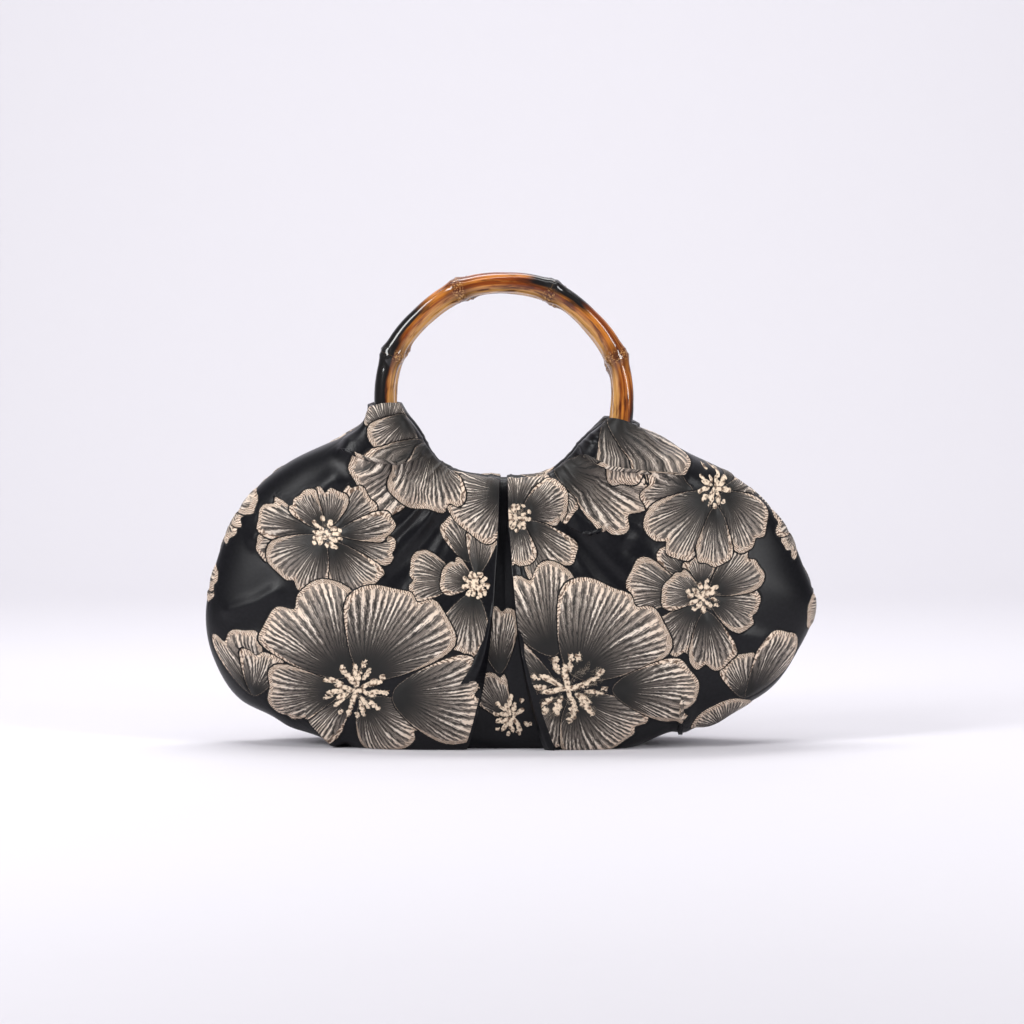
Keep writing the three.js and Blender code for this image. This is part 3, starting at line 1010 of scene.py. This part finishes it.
    def stroke_group(self) -> bpy.types.NodeTree:
        """Build the group that draws one ring of short radial strokes, some longer and some left out."""
        net, given, leave = new_group(
            "stamen strokes",
            {"Radius": VALUE, "Angle": VALUE, "Seed": VALUE,
             "Ring": VALUE, "Reach": VALUE, "Count": VALUE},
            {"Mask": VALUE})
        lane = (given["Angle"] / TURN + 0.5) * given["Count"] + given["Seed"] * 3
        dice = net.node("ShaderNodeTexWhiteNoise", out="Color",
                        inputs={"Vector": net.vector(net.math("FLOOR", lane), given["Seed"], given["Count"])})
        first, second, third = net.parts(dice)
        off = net.math("FRACT", lane) - 0.5 + (first - 0.5) * 0.3
        aside = net.math("ABSOLUTE", off) / given["Count"] * given["Radius"] * TURN
        along = net.math("ABSOLUTE", given["Radius"] - given["Ring"] - (second - 0.5) * given["Reach"])
        length = given["Reach"] * (third * 0.7 + 0.8)
        width = first * 0.5 + 0.85 + given["Reach"] * 0.10
        wide, long = aside / width, along / length
        mask = net.ease(net.math("SQRT", wide * wide + long * long), 1.15, 0.90)
        net.plug(mask * net.ease(third, 0.10, 0.12), leave.inputs["Mask"])
        return net.tree

    def stamen_group(self) -> bpy.types.NodeTree:
        """Build the group that draws a heart of stamens: a few rings of blunt strokes."""
        net, given, leave = new_group(
            "woven stamens",
            {"Place": VECTOR, "Facts": VECTOR, "Grain": VALUE},
            {"Color": COLOR, "Height": VALUE, "Cover": VALUE})
        x, y, seed = net.parts(given["Place"])
        length, _, _ = net.parts(given["Facts"])
        grain = given["Grain"]
        radius = net.math("SQRT", x * x + y * y) * length + (grain - 0.5) * 1.0
        angle = net.math("ARCTAN2", y, x) + (grain - 0.5) * 0.3
        strokes = self.stroke_group()
        cover = 0.0
        for ring, reach, count in self.stamen_rings:
            mask = net.group(strokes, {"Radius": radius, "Angle": angle, "Seed": seed + ring,
                                       "Ring": length * ring, "Reach": length * reach,
                                       "Count": count})["Mask"]
            cover = net.math("MAXIMUM", cover, mask)
        color = net.mix(net.ease(grain, 0.34, 0.56), self.champagne_dark, self.cream)
        net.plug(color, leave.inputs["Color"])
        net.plug(grain * 0.3 + 0.6, leave.inputs["Height"])
        net.plug(cover, leave.inputs["Cover"])
        return net.tree

    def yarn_group(self) -> bpy.types.NodeTree:
        """Build the group that gives the satin's fine yarns and its grain, from the flat cloth."""
        net, given, leave = new_group("satin yarns", {"Cloth": VECTOR, "Pitch": VALUE},
                                      {"Height": VALUE, "Grain": VALUE})
        u, v, _ = net.parts(given["Cloth"])
        wave = net.math("SINE", (u + v * self.yarn_slant) / given["Pitch"] * TURN)
        net.plug(wave, leave.inputs["Height"])
        net.plug(net.noise(given["Cloth"], self.grain_scale, 2.0), leave.inputs["Grain"])
        return net.tree

    def material(self, layers: int) -> bpy.types.Material:
        """Make the brocade.

        Args:
            layers: How many petals may lie over each other.

        Returns:
            The material.
        """
        material = bpy.data.materials.new("floral brocade")
        material.use_nodes = True
        net = Net(material.node_tree)
        shader = material.node_tree.nodes["Principled BSDF"]
        cloth = net.node("ShaderNodeUVMap", uv_map="cloth")
        yarns = net.group(self.yarn_group(), {"Cloth": cloth, "Pitch": self.yarn_pitch})
        grain = yarns["Grain"]
        color = net.mix(net.ease(grain, 0.3, 0.7), self.ground, self.ground_light)
        height = yarns["Height"] * self.yarn_height
        woven = None
        petal, stamens = self.petal_group(), self.stamen_group()
        for layer, tree in [(k, petal) for k in reversed(range(layers))] + [(layers, stamens)]:
            figure = net.group(tree, {"Place": net.attribute(f"place_{layer}"),
                                      "Facts": net.attribute(f"facts_{layer}"), "Grain": grain})
            color = net.mix(figure["Cover"], color, figure["Color"])
            height = net.blend(figure["Cover"], height, figure["Height"])
            woven = figure["Cover"] if woven is None else net.math("MAXIMUM", woven, figure["Cover"])
        bump = net.node("ShaderNodeBump", inputs={"Height": height, "Distance": MM, "Strength": 1.0})
        net.plug(color, shader.inputs["Base Color"])
        net.plug(net.blend(woven, self.satin_roughness, self.woven_roughness), shader.inputs["Roughness"])
        net.plug(bump, shader.inputs["Normal"])
        shader.inputs["Sheen Weight"].default_value = 0.0
        shader.inputs["Specular IOR Level"].default_value = self.specular
        return material


@dataclass
class ClothPanel:
    """One cloth panel of the bag, front or back, as a closed sheet."""

    side: Side
    form: ClothForm = field(default_factory=ClothForm)
    casing_rows: int = 40
    belly_rows: int = 130
    lip_at: float = 1.9
    recess_to: float = 1.15
    plain: int = 9
    shown_from: float = -0.4
    shown_ease: float = 0.1
    free_from: float = -0.75
    free_ease: float = 0.15
    seam_ease: float = 0.02

    @property
    def name(self) -> str:
        """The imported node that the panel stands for."""
        return "front_panel" if self.side is Side.FRONT else "back_panel"

    def across_places(self) -> np.ndarray:
        """Spread columns over the fan, with the table's cells to each of its rows."""
        half = [0.0]
        for row, cells in enumerate(self.form.rows["cells"][:-1].astype(int)):
            half += [row + k / cells for k in range(1, cells + 1)]
        if len(half) % 2 == 0:
            half.insert(1, half[1] / 2)
        half = np.array(half)
        return np.concatenate([-half[:0:-1], half])

    def along_places(self) -> np.ndarray:
        """Spread rows from the hem to the seam."""
        casing = np.linspace(-1, 0, self.casing_rows, endpoint=False)
        return np.concatenate([casing, np.linspace(0, 1, self.belly_rows + 1)])

    def build(self) -> bpy.types.Object:
        """Make the panel, dress it, hide the imported part that it stands for and attach it to the body.

        Returns:
            The panel's object.
        """
        across, along = self.across_places(), self.along_places()
        u, v = np.meshgrid(across, along, indexing="ij")
        plain = self.form.surface(u, v, True)
        flat = self.form.flat_map(across, along, plain)
        brocade = Brocade(self.side)
        figures = brocade.figures(brocade.seen(plain), flat, self.fields(u), v > self.shown_from)
        relief = brocade.relief(figures, flat, self.fields(u))
        moves = [tuck.moves(brocade.seen(plain)) for tuck in TUCKS]
        shown = smooth((v - self.shown_from) / self.shown_ease) * self.freedom(v)
        folds = sum(lift for lift, _ in moves) + self.form.ruffles(u, v)
        slide = sum(slide for _, slide in moves) * shown[..., None]
        outer = self.form.surface(u, v, True, relief * self.freedom(v) + folds * shown, slide)
        inner = self.form.surface(u[::2, ::2], v[::2, ::2], False)
        mesh = self.closed_sheet(outer, inner)
        self.weave_pattern(mesh, brocade, figures, flat, u)
        piece = put_in_scene(self.name + "_cloth", mesh)
        piece.data.materials.append(BrocadeFinish().material(brocade.layers))
        self.declare(piece, flat)
        return piece

    def fields(self, across: np.ndarray) -> np.ndarray:
        """Say which of the pleat's fields each fan line belongs to; under the lips none does."""
        place = np.abs(across)
        hidden = np.where(place < self.recess_to, 0, self.plain)
        return np.where(place < self.lip_at, hidden, np.sign(across)).astype(int)

    def freedom(self, along: np.ndarray) -> np.ndarray:
        """Give the share of the relief that fits: none inside the casing, little at the seam."""
        return smooth((along - self.free_from) / self.free_ease) * smooth((1 - along) / self.seam_ease)

    def weave_pattern(self, mesh: bpy.types.Mesh, brocade: Brocade, figures: list[Figure],
                      flat: np.ndarray, across: np.ndarray) -> None:
        """Put the flat cloth and the figures on the mesh for the material to read.

        Args:
            mesh: The closed sheet, whose first faces are its outer grid.
            brocade: The pattern.
            figures: Its figures.
            flat: The flat map, columns by rows.
            across: Fan lines, columns by rows.
        """
        corners = np.stack([flat[:-1, :-1], flat[:-1, 1:], flat[1:, 1:], flat[1:, :-1]], 2)
        corners = corners.reshape(-1, 4, 2)
        middle = ((across[:-1, :-1] + across[1:, :-1]) / 2).ravel()
        loops = len(mesh.loops)
        order = slice(None, None, -1) if self.side is Side.BACK else slice(None)
        cloth = np.zeros((loops, 2))
        cloth[:corners.shape[0] * 4] = corners[:, order].reshape(-1, 2) * MM
        mesh.uv_layers.new(name="cloth").data.foreach_set("uv", cloth.astype(np.float32).ravel())
        for k, (place, facts) in enumerate(brocade.layers_of(figures, corners, self.fields(middle))):
            for label, values, rest in (("place", place, (9, 9, 0)), ("facts", facts, (1, 1, 0))):
                whole = np.tile(np.array(rest, float), (loops, 1))
                whole[:corners.shape[0] * 4] = values[:, order].reshape(-1, 3)
                add_attribute(mesh, f"{label}_{k}", whole, "CORNER")

    def closed_sheet(self, outer: np.ndarray, inner: np.ndarray) -> bpy.types.Mesh:
        """Join the outer face, the coarser inner face and the edge between them.

        Args:
            outer: Outer points, columns by rows.
            inner: Inner points, at every other column and row.

        Returns:
            A closed mesh with its faces outward.
        """
        wide, high = outer.shape[:2]
        outer_id = np.arange(wide * high).reshape(wide, high)
        inner_id = wide * high + np.arange(inner.shape[0] * inner.shape[1]).reshape(inner.shape[:2])
        points = np.concatenate([outer.reshape(-1, 3), inner.reshape(-1, 3)]) * MM
        faces = self.grid_faces(outer_id, False) + self.grid_faces(inner_id, True)
        border = self.loop_of(outer_id)
        lining = self.loop_of(inner_id)
        for k in range(len(lining)):
            a, b = lining[k], lining[(k + 1) % len(lining)]
            j = 2 * k
            faces.append([border[j], border[(j + 1) % len(border)], border[(j + 2) % len(border)], b, a])
        if self.side is Side.BACK:
            points = points * np.array([1, -1, 1])
            faces = [face[::-1] for face in faces]
        mesh = bpy.data.meshes.new(self.name + "_cloth")
        mesh.from_pydata(points.tolist(), [], faces)
        mesh.update()
        mesh.shade_smooth()
        return mesh

    def grid_faces(self, ids: np.ndarray, turned: bool) -> list[list[int]]:
        """List the quads of a grid of points."""
        quads = np.stack([ids[:-1, :-1], ids[:-1, 1:], ids[1:, 1:], ids[1:, :-1]], -1).reshape(-1, 4)
        return (quads[:, ::-1] if turned else quads).tolist()

    def loop_of(self, ids: np.ndarray) -> list[int]:
        """List the border of a grid of points, once round."""
        return [*ids[:, 0], *ids[-1, 1:], *ids[-2::-1, -1], *ids[0, -2:0:-1]]

    def declare(self, piece: bpy.types.Object, flat: np.ndarray) -> None:
        """Log the piece's flat span and area, hide the imported part that it stands for and attach it to the
        body.

        Args:
            piece: The panel.
            flat: Its flat map in millimetres, columns by rows.
        """
        a, b, c, d = flat[:-1, :-1], flat[1:, :-1], flat[1:, 1:], flat[:-1, 1:]
        first, second = c - a, d - b
        area = np.abs(first[..., 0] * second[..., 1] - first[..., 1] * second[..., 0]).sum() / 2
        span = flat.reshape(-1, 2).max(0) - flat.reshape(-1, 2).min(0)
        LOG.info("%s: flat span %.0f x %.0f mm, area %.0f cm2", self.name, *span, area / 100)
        span[0] * MM
        span[1] * MM
        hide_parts(self.name)
        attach(piece, BODY)


@dataclass(frozen=True)
class Scorch:
    """A stretch of cane blackened by the flame: ring angles in degrees, and how far round it goes.

    The side is the least outward share of the section that is black: -1 is all round, 1 none.
    """

    start: float
    end: float
    fade: float
    side: float


@dataclass(frozen=True)
class BambooFinish:
    """Flame-stained bamboo under a glossy lacquer."""

    honey: tuple[float, float, float] = (0.52, 0.180, 0.026)
    amber: tuple[float, float, float] = (0.20, 0.040, 0.004)
    umber: tuple[float, float, float] = (0.050, 0.010, 0.003)
    tan: tuple[float, float, float] = (0.66, 0.36, 0.110)
    scar: tuple[float, float, float] = (0.62, 0.34, 0.120)
    soot: tuple[float, float, float] = (0.006, 0.005, 0.005)

    def streak_group(self) -> bpy.types.NodeTree:
        """Build the group that draws streaks along a cane, from its run and the place round it."""
        net, given, leave = new_group(
            "cane streaks", {"Cane": VECTOR, "Stretch": VALUE, "Seed": VALUE}, {"Mask": VALUE})
        run, outward, front = net.parts(given["Cane"])
        place = net.vector(run * given["Stretch"], outward, front + given["Seed"])
        net.plug(net.noise(place, 2.6, 3.0), leave.inputs["Mask"])
        return net.tree

    def material(self, name: str, scorches: tuple[Scorch, ...], seed: float) -> bpy.types.Material:
        """Make the bamboo of one ring.

        Args:
            name: The material's name.
            scorches: Where the ring is blackened.
            seed: Makes its streaks its own.

        Returns:
            The material.
        """
        material = bpy.data.materials.new(name)
        material.use_nodes = True
        net = Net(material.node_tree)
        shader = material.node_tree.nodes["Principled BSDF"]
        cane, knot = net.attribute("cane"), net.attribute("knot")
        _, outward, _ = net.parts(cane)
        gap, degrees, groove = net.parts(knot)
        streaks = self.streak_group()
        long = net.group(streaks, {"Cane": cane, "Stretch": 0.010, "Seed": seed})["Mask"]
        short = net.group(streaks, {"Cane": cane, "Stretch": 0.03, "Seed": seed + 7})["Mask"]
        color = net.mix(net.ease(long, 0.44, 0.62), self.amber, self.honey)
        color = net.mix(net.ease(outward + (short - 0.5) * 1.1, -0.1, -0.85) * 0.75, color, self.tan)
        color = net.mix(net.ease(short, 0.50, 0.68) * 0.8, color, self.umber)
        color = net.mix(net.ease(long, 0.42, 0.28) * 0.6, color, self.umber)
        stained = net.ease(gap + (short - 0.5) * 16.0, 13.0, 1.0)
        color = net.mix(stained * 0.6, color, self.umber)
        # Painted shade: the pressed-in groove is darkened with umber as well as sunk in the mesh.
        color = net.mix(net.math("MINIMUM", groove, 1.0) * 0.55, color, self.umber)
        near = net.ease(gap, 4.5, 1.5)
        speckle = net.noise(net.node("ShaderNodeTexCoord", out="Object"), 900.0, 2.0)
        color = net.mix(near * net.ease(speckle, 0.50, 0.36) * 0.7, color, self.umber)
        color = net.mix(near * net.ease(speckle, 0.54, 0.62) * 0.65, color, self.scar)
        for scorch in scorches:
            wander = (long - 0.5) * scorch.fade * 1.2
            begins = net.ease(degrees + wander, scorch.start - scorch.fade, scorch.start)
            ends = net.ease(degrees + wander, scorch.end + scorch.fade, scorch.end)
            round_ = net.ease(outward + (short - 0.5) * 0.5, scorch.side - 0.30, scorch.side + 0.12)
            color = net.mix(begins * ends * round_, color, self.soot)
        ring_scar = net.ease(gap, 0.75, 0.3) * net.ease(speckle, 0.42, 0.56)
        color = net.mix(ring_scar * 0.75, color, self.scar)
        height = (short - 0.5) * 0.10 + near * (speckle - 0.5) * 0.7
        bump = net.node("ShaderNodeBump", inputs={"Height": height, "Distance": MM, "Strength": 1.0})
        net.plug(color, shader.inputs["Base Color"])
        net.plug(net.blend(near, 0.3, 0.42), shader.inputs["Roughness"])
        net.plug(bump, shader.inputs["Normal"])
        shader.inputs["Specular IOR Level"].default_value = 0.1
        shader.inputs["Coat Weight"].default_value = 0.8
        shader.inputs["Coat Roughness"].default_value = 0.045
        shader.inputs["Coat IOR"].default_value = 1.52
        return material


@dataclass
class RingHandle:
    """One bamboo ring: a torus that is swelled, kinked, grooved and scarred at its knots."""

    side: Side
    sizes: RingSizes = field(default_factory=RingSizes)
    around: int = 256
    section: int = 32
    knot_profile: tuple[tuple[float, float], ...] = (
        (0.0, 0.75), (0.5, 0.8), (1.1, 1.3), (2.0, 1.2), (3.2, 0.75), (4.5, 0.35), (6.5, 0.1), (8.0, 0.0))
    profile_step: float = 0.1
    groove_depth: float = 0.75
    groove_width: float = 0.42
    groove_run: float = 19.0
    groove_start: float = 2.5
    groove_deg: float = 150.0
    groove_shift: float = 0.9
    waves: tuple[tuple[float, float, float], ...] = ((0.18, 3, 5), (0.12, 2, -9))
    lump: float = 0.22
    lump_reach: float = 2.6
    lump_waves: tuple[float, float] = (7, 40)
    back_seed: float = 20.0
    front_scorches: tuple[Scorch, ...] = (
        Scorch(151, 205, 6, -0.1), Scorch(136, 153, 14, 0.2), Scorch(52, 74, 8, 0.1),
        Scorch(-60, -5, 16, 0.75))
    back_scorches: tuple[Scorch, ...] = (
        Scorch(100, 118, 12, 0.1), Scorch(8, 30, 12, 0.0), Scorch(176, 215, 14, 0.1))

    @property
    def name(self) -> str:
        """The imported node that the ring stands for."""
        return "front_handle" if self.side is Side.FRONT else "back_handle"

    @property
    def centre(self) -> Vector:
        """The ring's centre, in metres."""
        y = self.side.value * self.sizes.spacing / 2
        return Vector((self.sizes.offset * MM, y * MM, self.sizes.centre_z * MM))

    @property
    def knot_deg(self) -> float:
        """Where the first knot is, in degrees round the ring."""
        return self.sizes.front_knot_deg if self.side is Side.FRONT else self.sizes.back_knot_deg

    def build(self) -> bpy.types.Object:
        """Make the ring, dress it, hide the imported part that it stands for and attach it to the body.

        Returns:
            The ring's object.
        """
        bpy.ops.object.select_all(action="DESELECT")
        bpy.ops.mesh.primitive_torus_add(
            location=self.centre, rotation=(math.pi / 2, 0, 0), major_segments=self.around,
            minor_segments=self.section, major_radius=self.sizes.line * MM,
            minor_radius=self.sizes.cane * MM)
        piece = bpy.context.object
        bpy.ops.object.transform_apply(location=True, rotation=True, scale=True)
        piece.name = self.name + "_cane"
        piece.data.name = piece.name
        angle, section = self.places(piece.data)
        self.swell_knots(piece, angle)
        self.bend_cane(piece.data, angle, section)
        bpy.ops.object.shade_smooth()
        self.mark(piece.data, angle, section)
        front = self.side is Side.FRONT
        scorches = self.front_scorches if front else self.back_scorches
        seed = 0.0 if front else self.back_seed
        piece.data.materials.append(BambooFinish().material(self.name + " bamboo", scorches, seed))
        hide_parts(self.name)
        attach(piece, BODY)
        return piece

    def read(self, mesh: bpy.types.Mesh) -> np.ndarray:
        """Give the mesh's points from the ring's centre, in millimetres."""
        points = np.empty(len(mesh.vertices) * 3)
        mesh.vertices.foreach_get("co", points)
        return (points.reshape(-1, 3) - np.array(self.centre)) / MM

    def places(self, mesh: bpy.types.Mesh) -> tuple[np.ndarray, np.ndarray]:
        """Give each point's angle round the ring and round the cane's section (0 is outward)."""
        points = self.read(mesh)
        angle = np.arctan2(points[:, 2], points[:, 0])
        off = np.hypot(points[:, 0], points[:, 2]) - self.sizes.line
        return angle, np.arctan2(-points[:, 1], off)

    def to_knot(self, angle: np.ndarray) -> np.ndarray:
        """Give the signed way along the cane to the nearest knot, in millimetres."""
        pitch = TURN / self.sizes.knot_count
        off = angle - math.radians(self.knot_deg)
        return (off - pitch * np.round(off / pitch)) * self.sizes.line

    def swell_knots(self, piece: bpy.types.Object, angle: np.ndarray) -> None:
        """Fatten the cane at its knots, level by level, with a groove where each joint closes."""
        away, lift = np.array(self.knot_profile).T
        swell = np.interp(np.abs(self.to_knot(angle)), away, lift)
        level = np.round(swell / self.profile_step).astype(int)
        bpy.ops.object.mode_set(mode="EDIT")
        bpy.ops.mesh.select_mode(type="VERT")
        for step in np.unique(level[level > 0]):
            bpy.ops.mesh.select_all(action="DESELECT")
            bpy.ops.object.mode_set(mode="OBJECT")
            piece.data.vertices.foreach_set("select", level == step)
            bpy.ops.object.mode_set(mode="EDIT")
            bpy.ops.transform.shrink_fatten(value=float(step) * self.profile_step * MM)
        bpy.ops.object.mode_set(mode="OBJECT")

    def groove(self, angle: np.ndarray, section: np.ndarray) -> np.ndarray:
        """Give the share of the groove that runs up the cane from each knot, on turning sides."""
        knot = np.round((angle - math.radians(self.knot_deg)) / (TURN / self.sizes.knot_count))
        place = np.radians(self.groove_deg) + (knot % 2) * self.groove_shift
        aside = (section - place + np.pi) % TURN - np.pi
        way = -self.to_knot(angle)
        run = smooth(way / self.groove_start) * smooth(1 - way / self.groove_run)
        return np.exp(-(aside / self.groove_width) ** 2) * run

    def bend_cane(self, mesh: bpy.types.Mesh, angle: np.ndarray, section: np.ndarray) -> None:
        """Kink the ring at its knots, press in the grooves and make the cane a little uneven."""
        points = self.read(mesh)
        pitch = TURN / self.sizes.knot_count * self.sizes.line
        kink = self.sizes.kink * (0.5 - np.abs(self.to_knot(angle)) / (pitch / 2))
        uneven = sum(high * np.sin(across * section + along * angle) for high, across, along in self.waves)
        near_knot = np.exp(-(self.to_knot(angle) / self.lump_reach) ** 2)
        across, along = self.lump_waves
        lumps = self.lump * np.sin(across * section + along * angle) * near_knot
        inward = self.groove_depth * self.groove(angle, section) - uneven - lumps
        radial = np.stack([np.cos(angle), np.zeros_like(angle), np.sin(angle)], -1)
        out = radial * np.cos(section)[:, None] + np.array([0, -1, 0]) * np.sin(section)[:, None]
        points += radial * kink[:, None] - out * inward[:, None]
        mesh.vertices.foreach_set("co", (points * MM + np.array(self.centre)).ravel())
        mesh.update()

    def mark(self, mesh: bpy.types.Mesh, angle: np.ndarray, section: np.ndarray) -> None:
        """Write on the mesh where each point is along and round the cane, and from its knot."""
        turn = (angle + np.pi / 2) % TURN
        degrees = np.degrees(turn) - 90
        add_attribute(mesh, "cane", np.stack([turn * self.sizes.line, np.cos(section), np.sin(section)], -1))
        add_attribute(mesh, "knot", np.stack([np.abs(self.to_knot(angle)), degrees,
                                              self.groove(angle, section)], -1))


@dataclass(frozen=True)
class PaperFinish:
    """Pale studio paper with a very faint tooth."""

    color: tuple[float, float, float] = (0.63, 0.614, 0.655)

    def material(self) -> bpy.types.Material:
        """Make the paper."""
        material = bpy.data.materials.new("studio paper")
        material.use_nodes = True
        net = Net(material.node_tree)
        shader = material.node_tree.nodes["Principled BSDF"]
        tooth = net.noise(net.node("ShaderNodeTexCoord", out="Object"), 60.0)
        net.plug(net.mix(tooth * 0.03, self.color, (0.8, 0.8, 0.8)), shader.inputs["Base Color"])
        shader.inputs["Roughness"].default_value = 0.9
        return material


@dataclass(frozen=True)
class SoftBox:
    """One soft light that faces the bag: its place and size in metres, and its power."""

    name: str
    place: tuple[float, float, float]
    size: tuple[float, float]
    watts: float
    aim: tuple[float, float, float] = (0.0, 0.0, 0.12)


@dataclass
class Studio:
    """The pale floor and backdrop, the soft lights and the camera."""

    camera_at: tuple[float, float, float] = (0.9, -2034.0, 229.0)
    pitch_deg: float = 2.65
    lens: float = 123.05
    room: float = 0.19
    floor_front: float = -3.5
    bend_at: float = 1.2
    bend_radius: float = 0.9
    bend_start: float = 0.1
    bend_steps: int = 14
    paper_top: float = 4.5
    paper_half: float = 4.0
    boxes: tuple[SoftBox, ...] = (
        SoftBox("left_box", (-1.2, -1.0, 1.0), (0.40, 1.1), 24.5),
        SoftBox("right_box", (1.2, -1.0, 0.7), (0.25, 1.1), 14),
        SoftBox("top_box", (-0.1, 0.30, 1.3), (1.2, 0.22), 8.5),
        SoftBox("strip_box", (0.0, -0.45, 1.3), (1.1, 0.06), 3),
        SoftBox("paper_box", (0.0, 0.4, 2.4), (3.0, 0.7), 65, (0.0, 2.1, 1.6)),
    )

    def build(self) -> None:
        """Set up the whole studio."""
        self.add_floor()
        for box in self.boxes:
            self.add_light(box)
        self.add_room()
        self.add_camera()

    def add_floor(self) -> None:
        """Lay a floor that curves up into a backdrop."""
        radius = self.bend_radius
        curve = np.linspace(self.bend_start, math.pi / 2, self.bend_steps)
        profile = [(self.floor_front, 0.0), (self.bend_at, 0.0)]
        profile += [(self.bend_at + radius * math.sin(a), radius - radius * math.cos(a)) for a in curve]
        profile.append((self.bend_at + radius, self.paper_top))
        points = [(x, y, z) for x in (-self.paper_half, self.paper_half) for y, z in profile]
        count = len(profile)
        faces = [(k, k + count, k + count + 1, k + 1) for k in range(count - 1)]
        mesh = bpy.data.meshes.new("backdrop")
        mesh.from_pydata(points, [], faces)
        mesh.shade_smooth()
        mesh.materials.append(PaperFinish().material())
        put_in_scene("backdrop", mesh)

    def add_light(self, box: SoftBox) -> None:
        """Hang one soft box that faces the bag."""
        light = bpy.data.lights.new(box.name, "AREA")
        light.shape = "RECTANGLE"
        light.size, light.size_y = box.size
        light.energy = box.watts
        lamp = bpy.data.objects.new(box.name, light)
        bpy.context.scene.collection.objects.link(lamp)
        lamp.location = box.place
        lamp.rotation_euler = (Vector(box.aim) - Vector(box.place)).to_track_quat("-Z", "Y").to_euler()

    def add_room(self) -> None:
        """Fill the room with soft light, and show colours as they are."""
        world = bpy.data.worlds.new("room")
        bpy.context.scene.world = world
        world.use_nodes = True
        world.node_tree.nodes["Background"].inputs["Color"].default_value = (0.96, 0.95, 1.0, 1)
        world.node_tree.nodes["Background"].inputs["Strength"].default_value = self.room
        bpy.context.scene.view_settings.view_transform = "Standard"

    def add_camera(self) -> None:
        """Stand the camera where the photograph was taken from."""
        camera = bpy.data.cameras.new("camera")
        camera.lens = self.lens
        camera.sensor_width = 36
        camera.sensor_fit = "HORIZONTAL"
        camera.clip_end = 20
        stand = bpy.data.objects.new("camera", camera)
        bpy.context.scene.collection.objects.link(stand)
        stand.location = Vector(self.camera_at) * MM
        stand.rotation_euler = (math.radians(90 - self.pitch_deg), 0, 0)
        bpy.context.scene.camera = stand


def main() -> None:
    """Build the bag piece by piece, then its studio."""
    logging.basicConfig(level=logging.INFO, format="%(name)s: %(message)s")
    Studio().build()
    for side in Side:
        panel = ClothPanel(side).build()
        LOG.info("%s: %d faces", panel.name, len(panel.data.polygons))
        ring = RingHandle(side).build()
        LOG.info("%s: %d faces", ring.name, len(ring.data.polygons))


if __name__ == "__main__":
    main()
